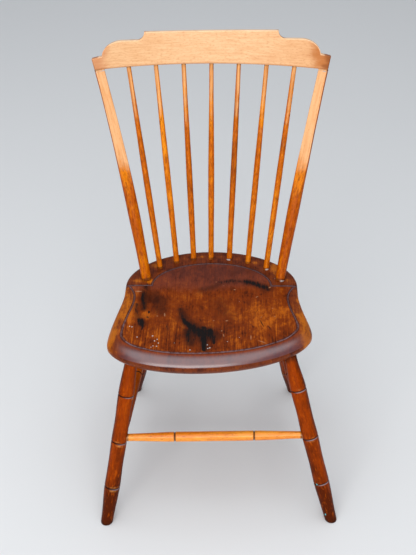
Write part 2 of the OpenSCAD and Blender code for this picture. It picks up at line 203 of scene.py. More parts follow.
def seat_outline(count):
    """Half an ellipse behind, eased sides, and half an ellipse in front, as count points
    spaced evenly along the edge."""
    a = np.linspace(0, np.pi, 400)
    rear = np.column_stack([rear_half_w * np.cos(a), rear_y + rear_depth * np.sin(a)])
    y = np.linspace(rear_y, front_y, 160)
    x = rear_half_w + (seat_half_w - rear_half_w) * ease((waist_y - y) / (waist_y - front_y))
    front = np.column_stack(
        [-seat_half_w * np.cos(a), front_y - front_depth * np.sin(a)]
    )
    loop = np.vstack(
        [rear, np.column_stack([-x, y])[1:], front[1:], np.column_stack([x, y])[::-1][1:]]
    )
    run = np.r_[0, np.cumsum(np.linalg.norm(np.diff(loop, axis=0), axis=1))]
    return walk(loop, run, np.linspace(0, run[-1], count, endpoint=False))


def score_lines():
    """The scored lines as three runs: the platform's arc, the saddle's line round the front,
    and the two straight scores, each a list of points."""
    a = np.linspace(0, np.pi, 90)
    arc = np.column_stack(
        [platform_half_w * np.cos(a), platform_y + platform_depth * np.sin(a)]
    )
    y = np.linspace(platform_y, score_front_y, 60)
    near = 1 - ((y - score_pinch_y) / (platform_y - score_pinch_y)) ** 2
    far = ease((y - score_front_y) / (score_pinch_y - score_front_y))
    x = score_half_w - score_pinch * np.where(y > score_pinch_y, near, far)
    bow = np.column_stack(
        [-score_half_w * np.cos(a), score_front_y - score_front_depth * np.sin(a)]
    )
    saddle = skewed(
        np.vstack([np.column_stack([-x, y]), bow[1:], np.column_stack([x, y])[::-1][1:]])
    )
    left = np.array([[-rear_half_w - 6, platform_y], [-platform_half_w, platform_y]])
    return [arc, saddle, left, left * [-1, 1]]


def path_distance(points, path):
    """Distance from each point to a run of straight pieces: the least over the pieces of
    the distance to the nearest point of the piece."""
    flat = points.reshape(-1, 2)
    best = np.full(len(flat), 1e9)
    for a, b in zip(path[:-1], path[1:]):
        along = b - a
        share = np.clip((flat - a) @ along / (along @ along), 0, 1)
        gap = np.hypot(*(flat - a - share[:, None] * along).T)
        best = np.minimum(best, gap)
    return best.reshape(points.shape[:-1])


def seat_top(points):
    """Height of the seat's top: the rim's height less the saddle, whose depth is the dish
    times the square of one less the squared share of the way to its rim."""
    r = (points[..., 0] / saddle_a) ** 2 + ((points[..., 1] - saddle_y) / saddle_b) ** 2
    return seat_h - dish * np.clip(1 - r, 0, 1) ** 2


def closed_skin(name, rows, facts):
    """Mesh of a closed skin. rows is a grid of points, row by row from one end to the other
    and closed around each row; each end closes with a fan to its row's middle. facts holds
    a number or a vector for each grid point, kept on the mesh by name."""
    count, across = rows.shape[:2]
    points = np.vstack([rows.reshape(-1, 3), rows[0].mean(0), rows[-1].mean(0)])
    i, j = np.meshgrid(np.arange(count - 1), np.arange(across), indexing="ij")
    a, b = i * across + j, i * across + (j + 1) % across
    quads = np.stack([a, b, b + across, a + across], -1).reshape(-1, 4)
    j = np.arange(across)
    k = (j + 1) % across
    first, last = count * across, count * across + 1
    base = (count - 1) * across
    fans = np.vstack(
        [
            np.column_stack([k, j, np.full(across, first)]),
            np.column_stack([base + j, base + k, np.full(across, last)]),
        ]
    )
    corners = points[quads]
    volume = np.einsum(
        "ij,ij->i", corners[:, 0], np.cross(corners[:, 1], corners[:, 2])
    ).sum() + np.einsum(
        "ij,ij->i", corners[:, 0], np.cross(corners[:, 2], corners[:, 3])
    ).sum()
    if volume < 0:
        quads, fans = quads[:, ::-1], fans[:, ::-1]
    mesh = bpy.data.meshes.new(name)
    mesh.from_pydata(in_frame(points), [], quads.tolist() + fans.tolist())
    mesh.polygons.foreach_set("use_smooth", np.ones(len(mesh.polygons), bool))
    for fact, values in facts.items():
        flat = values.reshape(count * across, -1)
        flat = np.vstack([flat, flat[:across].mean(0), flat[-across:].mean(0)])
        if flat.shape[1] == 1:
            mesh.attributes.new(fact, "FLOAT", "POINT").data.foreach_set(
                "value", flat.ravel().astype(np.float32)
            )
        else:
            mesh.attributes.new(fact, "FLOAT_VECTOR", "POINT").data.foreach_set(
                "vector", flat.ravel().astype(np.float32)
            )
    mesh.update()
    piece = bpy.data.objects.new(name, mesh)
    bpy.context.scene.collection.objects.link(piece)
    return piece


def seat_rows():
    """Rows of the plank from the middle of its underside, out to the edge, round the edge
    roll and back in over the top, and each point's distance from the scored lines. Every
    row is the outline drawn in towards the middle by a share s. On the top the rows crowd
    together near the scored lines."""
    edge = seat_outline(520)
    frontness = ease((40 - edge[:, 1]) / 120)
    roll_w, roll_h = 0.04 + 0.14 * frontness, 4 + 15 * frontness
    bevel = 0.06 + 0.06 * frontness
    bottom = seat_h - seat_t
    shares, heights = [], []
    for s in np.linspace(0.05, 1, 9):
        shares.append(s * (1 - bevel))
        heights.append(bottom + 0 * bevel)
    for t in np.linspace(0, 1, 9)[1:]:
        round_s, round_z = np.sin(t * np.pi / 2), 1 - np.cos(t * np.pi / 2)
        shares.append(1 - bevel + bevel * (0.5 * t + 0.5 * round_s))
        heights.append(bottom + (seat_t - side_band - roll_h) * (0.5 * t + 0.5 * round_z))
    for t in (0.5, 1.0):
        shares.append(1 + 0 * bevel)
        heights.append(seat_h - roll_h - side_band * (1 - t))
    for a in np.linspace(0, np.pi / 2, 19)[1:]:
        shares.append(1 - roll_w * (1 - np.cos(a)))
        heights.append(seat_h - roll_h * (1 - np.sin(a)))
    lines = score_lines()
    inward = np.linspace(1, 0.02, 300)
    s_fine = (1 - roll_w)[:, None] * inward
    fine = skewed(seat_mid + s_fine[..., None] * (edge[:, None] - seat_mid))
    gap = np.min([path_distance(fine, line) for line in lines], axis=0)
    crowd = 0.45 + 4.2 * np.exp(-((gap / 3.4) ** 2))
    run = np.cumsum(crowd, axis=1)
    run = (run - run[:, :1]) / (run[:, -1:] - run[:, :1])
    row = np.arange(len(edge))
    for t in np.linspace(0, 1, 112)[1:]:
        k = np.clip((run < t).sum(axis=1), 1, len(inward) - 1)
        low, high = run[row, k - 1], run[row, k]
        part = (t - low) / (high - low)
        shares.append(s_fine[row, k - 1] * (1 - part) + s_fine[row, k] * part)
        heights.append(None)
    shares = np.array(shares)
    flat = seat_mid + shares[..., None] * (edge - seat_mid)
    z = np.array([seat_top(flat[i]) if h is None else h for i, h in enumerate(heights)])
    plan = skewed(flat)
    gap = np.min([path_distance(plan, line) for line in lines], axis=0)
    groove = seat_h - score_depth + gap * score_depth / (score_w / 2)
    is_top = (np.arange(len(shares)) > last_side_row)[:, None]
    # Scraped by hand: a little uneven, most of all in the saddle
    hand = 0.22 * waves(plan[..., 0], plan[..., 1], (150, 95, 61, 44), 5)
    scooped = ease((seat_h - z) / 3) * is_top
    z = z + hand * np.where(is_top, 0.4 + 0.6 * scooped, 0) - 0.3 * is_top
    z = np.where(is_top, np.minimum(z, groove), z)
    return np.dstack([plan, z]), gap


plank, score_gap = seat_rows()
above = np.where(np.arange(len(plank)) > last_side_row, 1.0, 0.0)[:, None] + 0 * score_gap
x, y = plank[..., 0], plank[..., 1]
inside_arc = (x / platform_half_w) ** 2 + ((y - platform_y) / platform_depth) ** 2 < 1
on_platform = (y > platform_y) & ~inside_arc
side_at = np.where(
    y > score_pinch_y,
    1 - ((y - score_pinch_y) / (platform_y - score_pinch_y)) ** 2,
    ease((y - score_front_y) / (score_pinch_y - score_front_y)),
)
bow_y = (y - front_skew * x * ease(-y / skew_reach) - score_front_y) / score_front_depth
in_front = bow_y < 0
in_saddle = np.where(
    in_front,
    (x / score_half_w) ** 2 + np.clip(bow_y, None, 0) ** 2 < 1,
    np.abs(x) < score_half_w - score_pinch * side_at,
) & ~on_platform
# Signed distance from the scored lines: positive on the rim and platform, negative inside
rim = np.where(in_saddle, -score_gap, score_gap)


def strokes(plan, runs):
    """How strongly each point is marked by a set of soft brush strokes: the greatest over
    the strokes of its strength times a bell curve of the distance to its line over its half
    width there. A stroke is a strength and a list of (x, y, half width)."""
    flat = plan.reshape(-1, 2)
    best = np.zeros(len(flat))
    for strength, run in runs:
        run = np.array(run, float)
        for a, b in zip(run[:-1], run[1:]):
            along = b[:2] - a[:2]
            share = np.clip((flat - a[:2]) @ along / (along @ along), 0, 1)
            gap = np.hypot(*(flat - a[:2] - share[:, None] * along).T)
            half = a[2] + (b[2] - a[2]) * share
            best = np.maximum(best, strength * np.exp(-((gap / half) ** 2)))
    return best.reshape(plan.shape[:-1])


def patches(plan, spots):
    """Soft light and dark patches added up: each is an amount times a bell curve of the
    distance from its middle in shares of its two half widths."""
    total = np.zeros(plan.shape[:-1])
    for sx, sy, half_x, half_y, amount in spots:
        reach = ((plan[..., 0] - sx) / half_x) ** 2 + ((plan[..., 1] - sy) / half_y) ** 2
        total = total + amount * np.exp(-reach)
    return total


# Strokes of charring, each a strength and its run of (x, y, half width)
burns = [
    (0.62, [(-64, 4, 3), (-61, -16, 4.5), (-54, -36, 6)]),
    (
        1.00,
        [
            (-56, -32, 5), (-48, -48, 8), (-38, -60, 10),
            (-24, -72, 12), (-10, -76, 12), (-2, -74, 9),
        ],
    ),
    (0.88, [(-30, -72, 10), (-20, -86, 12), (-4, -86, 12)]),
    (0.95, [(-14, -60, 7), (-10, -64, 8)]),
    (0.90, [(0, -68, 5), (2, -72, 5)]),
    (1.05, [(-13, -74, 11), (-12, -96, 9), (-11, -118, 6), (-10, -142, 3.5)]),
    (0.86, [(-2, -74, 9), (5, -92, 8), (9, -118, 4)]),
    (0.62, [(-38, -60, 10), (-44, -84, 8), (-43, -112, 4)]),
    (0.60, [(-30, -68, 9), (-29, -104, 6)]),
    (0.80, [(-139, 84, 2.5), (-141, 66, 3.5)]),
    (
        0.72,
        [
            (-141, 66, 4), (-143, 50, 6), (-145, 38, 7.5),
            (-143, 24, 7), (-141, 6, 5), (-138, -5, 3),
        ],
    ),
    (0.52, [(-157, 12, 5), (-155, -12, 5), (-151, -24, 4)]),
    (1.00, [(-141, -43, 8), (-140, -55, 9), (-138, -64, 6)]),
    (0.80, [(-148, -42, 4), (-147, -50, 4)]),
    (0.80, [(-137, -64, 4), (-139, -76, 3)]),
    (1.10, [(-128, -13, 2.6), (-128, -18, 2.6)]),
    (1.00, [(-130, -29, 2.4), (-129, -35, 3)]),
    (0.72, [(-87, -52, 3.5), (-87, -60, 4.5), (-86, -76, 3)]),
    (0.84, [(72, 97, 6), (88, 90, 9), (104, 80, 10), (117, 72, 8)]),
    (0.62, [(112, 76, 8), (124, 62, 5)]),
    (0.60, [(18, 95, 6), (41, 100, 8), (62, 97, 6)]),
]
# The same for the smoky stain round the burns and under the saddle's rim
soots = [
    (0.85, [(-63, 0, 9), (-52, -36, 16), (-34, -62, 22), (-8, -78, 26), (4, -96, 22)]),
    (0.95, [(-44, -74, 15), (-38, -118, 13)]),
    (0.80, [(-16, -90, 24), (-8, -134, 14)]),
    (0.85, [(-140, 70, 10), (-142, 30, 16), (-140, -6, 10)]),
    (0.60, [(-156, 8, 10), (-150, -30, 12), (-140, -56, 16)]),
    (0.60, [(-122, 44, 20), (-108, 20, 24), (-104, -14, 18)]),
    (0.55, [(-24, 68, 12), (2, 79, 11), (20, 95, 12), (64, 98, 11)]),
    (0.75, [(74, 96, 13), (118, 72, 16)]),
    (0.40, [(20, 30, 24), (36, -20, 24)]),
    (0.40, [(104, 128, 12), (60, 136, 18)]),
]
# Patches of darker and lighter stain as (x, y, half length, half width, amount)
seat_tones = [
    # Rear third of the saddle, darkest under the arc
    (-10, 132, 100, 26, -0.9), (40, 100, 60, 18, -0.5), (-10, 76, 34, 16, -0.5),
    (-70, 112, 34, 18, -0.25), (118, 52, 20, 22, -0.5), (-112, 22, 24, 40, -0.55),
    (14, 0, 26, 34, -0.3), (-34, -100, 40, 30, -0.3), (44, -66, 26, 20, -0.35),
    (60, 10, 16, 20, -0.2), (84, 64, 26, 12, -0.15), (-60, 10, 18, 20, -0.25),
    # Amber where it has worn most
    (-166, -10, 13, 60, 0.9), (-9, 30, 14, 22, 0.4), (-33, 74, 10, 12, 0.45),
    (-97, 55, 12, 12, 0.5), (-84, -46, 20, 40, 0.35), (104, -34, 44, 34, 0.7),
    (50, -12, 22, 20, 0.4), (140, 10, 18, 36, 0.3), (56, 50, 26, 14, 0.2),
    (-129, -26, 12, 18, 0.8), (-118, -84, 26, 22, 0.35), (66, -108, 30, 18, 0.3),
    (4, -44, 20, 18, 0.3),
    # Sides and corners of the rim, and bare places between the rods
    (-204, -92, 18, 46, 1.9), (-190, -20, 15, 46, 1.1), (-182, 40, 12, 26, 0.8),
    (196, -40, 16, 50, 1.2), (203, -104, 16, 20, 1.2), (186, 30, 12, 30, 0.9),
    (-134, 94, 10, 10, 1.7), (-160, 96, 14, 8, 0.9), (-124, 152, 14, 9, 1.2),
    (136, 146, 9, 20, 1.6), (-80, 176, 10, 7, 1.2), (-24, 188, 10, 5, 0.9),
    (18, 188, 10, 5, 0.8), (56, 180, 8, 6, 0.8), (96, 166, 9, 9, 1.3),
    (166, 98, 12, 10, 0.9),
]
plan = plank[..., :2]
seat = closed_skin(
    "seat_plank",
    plank,
    {
        "grain": np.dstack([x, plank[..., 2] - seat_h, y]) / 1000,
        "rim": rim,
        # line_shade: where painted shade falls in the scored lines; it also places their
        # painted glint
        "line_shade": np.clip(1 - score_gap / 4.0, 0, 1) * above,
        "char": strokes(plan, burns) * above,
        "soot": strokes(plan, soots) * above,
        "tone": patches(plan, seat_tones),
        "streaky": ease((-20 - y) / 70) * above * (rim < 0),
        "front": ease((-20 - y) / 70) * above,
        # painted sheen: a plum reflection painted on the platform and the back of the saddle
        "painted_sheen": above
        * np.where(rim > 0, 0.18 * ease((y - 60) / 20), 1.1 * ease((y - 40 - x / 12) / 60)),
        "roll": ease((-y - 60) / 60)
        * ease((rim - 3) / 14)
        * ease((x + 198) / 50)
        * (1 - 0.5 * ease((x - 160) / 40))
        * above,
    },
)


class Finish:
    """A material's nodes, laid one over the other: each call adds a node and gives back its
    output, so a finish reads from bare wood up to dirt."""

    def __init__(self, name):
        self.material = bpy.data.materials.new(name)
        self.material.use_nodes = True
        self.nodes = self.material.node_tree.nodes
        self.links = self.material.node_tree.links
        self.shader = self.nodes["Principled BSDF"]

    def put(self, socket, value):
        """Feed a socket from another node's output, or set it to a number or colour."""
        if isinstance(value, bpy.types.NodeSocket):
            self.links.new(value, socket)
        elif isinstance(value, (tuple, list)) and len(value) == 3 and socket.type == "RGBA":
            socket.default_value = (*value, 1)
        else:
            socket.default_value = value

    def fact(self, name, vector=False):
        """A number or vector kept on the mesh."""
        node = self.nodes.new("ShaderNodeAttribute")
        node.attribute_name = name
        return node.outputs["Vector" if vector else "Fac"]

    def place(self):
        """Place on the piece, in metres of the row frame."""
        return self.nodes.new("ShaderNodeTexCoord").outputs["Object"]

    def stretch(self, vector, scale, shift=(0, 0, 0)):
        """The vector scaled and shifted, so that a pattern runs long or short in it."""
        node = self.nodes.new("ShaderNodeMapping")
        self.put(node.inputs["Vector"], vector)
        node.inputs["Scale"].default_value = scale
        node.inputs["Location"].default_value = shift
        return node.outputs["Vector"]

    def noise(self, vector, detail=2.0, roughness=0.5, distortion=0.0):
        """Cloudy unevenness from 0 to 1, mostly near a half."""
        node = self.nodes.new("ShaderNodeTexNoise")
        self.put(node.inputs["Vector"], vector)
        node.inputs["Scale"].default_value = 1.0
        node.inputs["Detail"].default_value = detail
        node.inputs["Roughness"].default_value = roughness
        node.inputs["Distortion"].default_value = distortion
        return node.outputs["Fac"]

    def between(self, value, low, high, out_low=0.0, out_high=1.0):
        """value's place from low to high, smoothed, as a number from out_low to out_high."""
        node = self.nodes.new("ShaderNodeMapRange")
        node.interpolation_type = "SMOOTHSTEP"
        for name, number in zip(
            ("Value", "From Min", "From Max", "To Min", "To Max"),
            (value, low, high, out_low, out_high),
        ):
            self.put(node.inputs[name], number)
        return node.outputs["Result"]

    def sum(self, kind, a, b=0.0, c=0.0):
        """Arithmetic on up to three numbers, of the kind named."""
        node = self.nodes.new("ShaderNodeMath")
        node.operation = kind
        for socket, value in zip(node.inputs, (a, b, c)):
            self.put(socket, value)
        return node.outputs["Value"]

    def uneven(self, value, noise, amount):
        """value plus the amount times how far the noise stands from its middle, a half."""
        return self.sum("MULTIPLY_ADD", self.sum("SUBTRACT", noise, 0.5), amount, value)

    def mix(self, a, b, amount):
        """Colour a with colour b laid over it, as thickly as the amount says."""
        node = self.nodes.new("ShaderNodeMix")
        node.data_type = "RGBA"
        self.put(node.inputs["Factor"], amount)
        self.put(node.inputs[6], a)
        self.put(node.inputs[7], b)
        return node.outputs[2]

    def marks(self, vector, spots):
        """Small flecks and scratches: the greatest over all of one less the distance from
        its middle, in shares of its half length and half width. Each is (x, y, z, length,
        width, turn in degrees) in chair millimetres, drawn on the level plane."""
        best = None
        for sx, sy, sz, length, width, turn in spots:
            node = self.nodes.new("ShaderNodeMapping")
            node.vector_type = "TEXTURE"
            self.put(node.inputs["Vector"], vector)
            node.inputs["Location"].default_value = in_frame(np.array([sx, sy, sz], float))
            node.inputs["Rotation"].default_value = (0, 0, np.radians(turn))
            node.inputs["Scale"].default_value = (
                length / 2000, width / 2000, max(width, 8) / 2000,
            )
            reach = self.nodes.new("ShaderNodeVectorMath")
            reach.operation = "LENGTH"
            self.put(reach.inputs[0], node.outputs["Vector"])
            depth = self.sum("SUBTRACT", 1.0, reach.outputs["Value"])
            best = depth if best is None else self.sum("MAXIMUM", best, depth)
        return best

    def bump(self, height, depth_mm, below=None):
        """Fine relief that many millimetres deep, over the relief below."""
        node = self.nodes.new("ShaderNodeBump")
        node.inputs["Strength"].default_value = 1.0
        node.inputs["Distance"].default_value = depth_mm / 1000
        self.put(node.inputs["Height"], height)
        if below is not None:
            self.put(node.inputs["Normal"], below)
        return node.outputs["Normal"]

    def done(self, piece, colour, roughness, normal, specular=0.5, coat=0.0):
        """Set the shader and give the piece this material."""
        self.put(self.shader.inputs["Base Color"], colour)
        self.put(self.shader.inputs["Roughness"], roughness)
        self.put(self.shader.inputs["Normal"], normal)
        self.shader.inputs["Specular IOR Level"].default_value = specular
        self.put(self.shader.inputs["Coat Weight"], coat)
        self.shader.inputs["Coat Roughness"].default_value = 0.2
        piece.data.materials.clear()
        piece.data.materials.append(self.material)


def seat_finish(piece):
    """Stained and varnished pine: mottled amber in the saddle with fine streaks from front
    to back, red-brown on the rim and platform, with burns, a painted plum sheen at the back,
    painted shade and a painted glint in the scored lines, and paint specks."""
    f = Finish("seat_wood")
    grain = f.fact("grain", vector=True)
    place = f.place()
    cloud = f.noise(f.stretch(grain, (34, 34, 26)), 4, 0.62, 0.5)
    mottle = f.noise(f.stretch(grain, (150, 150, 80)), 3, 0.65, 0.6)
    streak = f.noise(f.stretch(grain, (330, 90, 13), (3, 1, 2)), 3, 0.6, 0.5)
    fibre = f.noise(f.stretch(grain, (900, 400, 60)), 2, 0.65)
    fleck = f.noise(f.stretch(grain, (700, 500, 260)), 2, 0.7)
    rim = f.fact("rim")
    worn = f.between(rim, -2.5, 1.5, 1.0, 0.0)
    lined = f.sum("MULTIPLY_ADD", f.fact("streaky"), 0.75, 0.75)
    lined = f.sum("MULTIPLY_ADD", f.fact("roll"), -0.7, lined)
    tone = f.sum("MULTIPLY_ADD", f.fact("tone"), 0.46, 0.46)
    tone = f.uneven(tone, cloud, 1.3)
    tone = f.uneven(tone, mottle, 0.85)
    tone = f.uneven(tone, streak, lined)
    amber = f.mix((0.050, 0.007, 0.001), (0.180, 0.027, 0.001), f.between(tone, 0.0, 0.5))
    amber = f.mix(amber, (0.46, 0.105, 0.004), f.between(tone, 0.46, 1.0))
    cherry = f.mix((0.058, 0.009, 0.003), (0.165, 0.030, 0.005), f.between(tone, 0.1, 0.6))
    cherry = f.mix(cherry, (0.46, 0.120, 0.004), f.between(tone, 0.58, 1.10))
    # The varnish is thicker and redder just outside the saddle's line
    lip = f.sum("MULTIPLY", f.between(rim, 1.5, 4), f.between(rim, 6, 11, 1.0, 0.0))
    lip = f.sum("MULTIPLY", lip, f.sum("MULTIPLY", f.fact("front"), 0.35))
    cherry = f.mix(cherry, (0.30, 0.045, 0.008), lip)
    colour = f.mix(cherry, amber, worn)
    colour = f.mix(colour, (0.05, 0.010, 0.004), f.between(fibre, 0.57, 0.76, 0.0, 0.5))
    # Painted sheen: a faint plum reflection painted at the back and on the platform
    painted_sheen = f.uneven(f.fact("painted_sheen"), cloud, 1.2)
    painted_sheen = f.uneven(painted_sheen, mottle, 1.0)
    colour = f.mix(colour, (0.145, 0.038, 0.027), f.between(painted_sheen, 0.25, 1.2, 0.0, 0.50))
    grown = f.noise(f.stretch(grain, (520, 200, 22), (2, 3, 0)), 3, 0.7)
    colour = f.mix(colour, (0.030, 0.006, 0.003), f.between(grown, 0.54, 0.74, 0.0, 0.5))
    colour = f.mix(colour, (0.30, 0.070, 0.006), f.between(grown, 0.42, 0.26, 0.0, 0.30))
    # Smoky stains, then burns, ragged along the grain
    ragged = f.uneven(f.fact("soot"), mottle, 1.0)
    ragged = f.uneven(ragged, streak, 0.7)
    colour = f.mix(colour, (0.022, 0.006, 0.003), f.between(ragged, 0.10, 0.95, 0.0, 0.80))
    torn = f.uneven(f.fact("char"), fibre, 0.9)
    torn = f.uneven(torn, streak, 1.4)
    torn = f.uneven(torn, mottle, 0.7)
    burnt = f.between(torn, 0.34, 0.80)
    colour = f.mix(colour, (0.0045, 0.004, 0.0045), burnt)
    # Painted shade in and beside the scored lines, then a painted lavender glint along them,
    # brightest at the front
    line_shade = f.fact("line_shade")
    colour = f.mix(colour, (0.030, 0.008, 0.006), f.between(line_shade, 0.10, 0.45, 0.0, 0.75))
    painted_glint = f.uneven(line_shade, mottle, 0.7)
    glint_strength = f.sum("MULTIPLY_ADD", f.fact("front"), 0.35, 0.45)
    glint_strength = f.sum("MULTIPLY", f.between(painted_glint, 0.45, 0.85), glint_strength)
    colour = f.mix(colour, (0.20, 0.120, 0.135), glint_strength)
    # Scratches, rubbed places and paint specks
    dark_cuts = f.marks(
        place,
        [
            (106, -52, 412, 34, 3.0, 106), (121, -67, 412, 22, 2.6, 112),
            (88, -62, 412, 14, 2.4, 118), (97, -6, 410, 12, 1.8, 60),
            (72, 96, 412, 6, 2.0, 20), (-95, -20, 410, 9, 2.4, 95),
        ],
    )
    colour = f.mix(colour, (0.014, 0.005, 0.003), f.between(dark_cuts, 0.0, 0.5, 0.0, 0.85))
    pale_cuts = f.marks(
        place,
        [
            (83, -99, 413, 22, 3.0, 90), (105, -113, 413, 24, 3.0, 152),
            (-155, 56, 414, 19, 6.0, 0), (-95, -21, 410, 17, 4.0, 95),
            (34, -36, 408, 9, 6, 20), (7, -35, 408, 6, 5, 0), (50, 70, 409, 6, 4, 0),
            (97, 42, 411, 9, 3.4, 30), (125, 73, 414, 8, 5, 40), (24, -73, 409, 6, 4, 80),
            (28, -90, 411, 16, 2.6, 100), (10, 96, 412, 5, 3, 0), (26, 84, 412, 7, 3, 10),
            (133, -29, 412, 6, 3, 0), (129, 0, 412, 5, 3, 0), (105, -29, 412, 6, 2.4, 60),
            (-110, -27, 412, 5, 4, 0), (-60, 30, 412, 4, 3, 0),
        ],
    )
    colour = f.mix(colour, (0.42, 0.20, 0.10), f.between(pale_cuts, 0.0, 0.7, 0.0, 0.75))
    specks = f.marks(
        place,
        [
            (-115, -96, 413, 4.3, 4.3, 0), (-105, -107, 413, 3.6, 3.6, 0),
            (-110, -112, 413, 3.6, 4.3, 0), (-102, -119, 413, 3.6, 3.6, 0),
            (-105, -129, 414, 3.6, 3.6, 0), (-112, -128, 414, 3.6, 2.9, 0),
            (-116, -132, 414, 2.9, 2.2, 0), (-146, -100, 414, 3.6, 3.6, 0),
            (-164, -65, 414, 2.9, 4.3, 0), (-159, -67, 414, 2.9, 4.3, 0),
            (-38, -140, 414, 3.6, 3.6, 0), (-4, -123, 414, 2.9, 5, 0),
            (1, -133, 414, 4.3, 4.3, 0), (-3, -135, 414, 3.6, 3.6, 0),
            (60, -98, 413, 2.2, 2.2, 0), (36, -112, 413, 2.9, 2.9, 0),
            (-70, -118, 413, 2.2, 1.4, 0), (60, 30, 410, 2.2, 2.2, 0),
        ],
    )
    paint = f.between(specks, 0.05, 0.45)
    colour = f.mix(colour, (0.58, 0.57, 0.55), f.sum("MULTIPLY", paint, 0.8))
    # The roll has a plum tint under thick varnish: partly stain, partly a painted sheen
    roll = f.fact("roll")
    colour = f.mix(colour, (0.085, 0.018, 0.032), f.sum("MULTIPLY", roll, 0.55))
    gloss = f.sum("MULTIPLY_ADD", cloud, 0.25, 0.22)
    gloss = f.sum("MULTIPLY_ADD", burnt, 0.12, gloss)
    normal = f.bump(streak, 0.22)
    normal = f.bump(fibre, 0.08, normal)
    normal = f.bump(f.sum("SUBTRACT", paint, f.between(dark_cuts, 0.0, 0.6)), 0.3, normal)
    normal = f.bump(fleck, 0.05, normal)
    f.done(piece, colour, gloss, normal, specular=0.12, coat=f.sum("MULTIPLY", roll, 0.9))
    f.shader.inputs["Coat IOR"].default_value = 1.95
    f.shader.inputs["Coat Roughness"].default_value = 0.3


seat_finish(seat)
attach(seat, "root")
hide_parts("seat")


# ---------------------------------------------------------------------------
# Legs
# Four splayed maple legs, turned by eye with a long taper and three scored rings
# like the joints of bamboo, then stained and varnished. Each is wedged into a
# blind socket under the seat, and its foot is sawn level with the floor.
# ---------------------------------------------------------------------------
seat_bottom = seat_h - seat_t
leg_top_d, leg_ring_d, leg_foot_d = 25.0, 33.0, 25.0
ring_cut, ring_half_w, waist_cut = 1.8, 2.3, 0.9
leg_shoulder = 8.0
# Where the rounds crowd together, this far on each side of a ring
ring_reach = np.linspace(-4, 4, 17)
# Each leg's top (x, y), foot (x, y), and rings as shares of its length
legs = {
    "front_left_leg": ((-158.5, -105), (-223, -217), (0.225, 0.5, 0.775)),
    "front_right_leg": ((163, -105), (258, -204), (0.245, 0.523, 0.81)),
    "rear_left_leg": ((-124, 118), (-194, 212), (0.227, 0.505, 0.786)),
    "rear_right_leg": ((124, 118), (194, 212), (0.227, 0.505, 0.786)),
}


def lathe_axes(a, b):
    """Length from a to b, the direction along it, and two directions square to it. The
    first is level. The second points to the chair's back on an upright piece, and up on a
    rung."""
    along = b - a
    length = np.linalg.norm(along)
    along = along / length
    level = np.cross([0, 1, 0] if abs(along[2]) > 0.5 else [0, 0, 1], along)
    level /= np.linalg.norm(level)
    return length, along, level, np.cross(along, level)


def rounds(heights, count):
    """Grid of count angles round an axis by the heights along it: each point's angle and
    height."""
    return np.meshgrid(np.linspace(0, 2 * np.pi, count, endpoint=False), heights)


def round_axis(start, axes, height, side, rear):
    """Points beside an axis: the start, plus the height, the side and the rear measures
    each times its own direction."""
    along, level, back = axes
    return (
        start
        + height[..., None] * along
        + side[..., None] * level
        + rear[..., None] * back
    )


def leg_radius(h, length, rings):
    """Radius at height h along a leg, the distance from the nearest ring, and how far past
    it h lies. The radius is eased from foot to first ring, slightly waisted between rings,
    and eased down to the tenon above the last one, with a rounded V at each ring."""
    low, mid, top = (length * share for share in rings)
    swell = leg_ring_d - leg_foot_d
    below = leg_foot_d / 2 + swell / 2 * ease(h / low * 0.9 + 0.05)
    above_ring = leg_ring_d / 2 - (leg_ring_d - leg_top_d) / 2 * ease(
        (h - top) / (length - leg_shoulder - top)
    )
    waist = leg_ring_d / 2 - waist_cut * np.sin(np.pi * (h - low) / (mid - low)) ** 2
    r = np.where(h < low, below, np.where(h > top, above_ring, waist))
    near = np.min([np.abs(h - ring) for ring in (low, mid, top)], axis=0)
    vee = np.clip(1 - near / ring_half_w, 0, None)
    lip = 0.35 * np.exp(-(((near - ring_half_w - 1.2) / 1.6) ** 2))
    beside = 9.0  # farther from a ring than this counts as just this far
    past = sum(
        np.where(np.abs(h - ring) < beside, h - ring, 0) for ring in (low, mid, top)
    ) + beside * (near >= beside)
    return r - ring_cut * vee + lip * 0.4, near, past


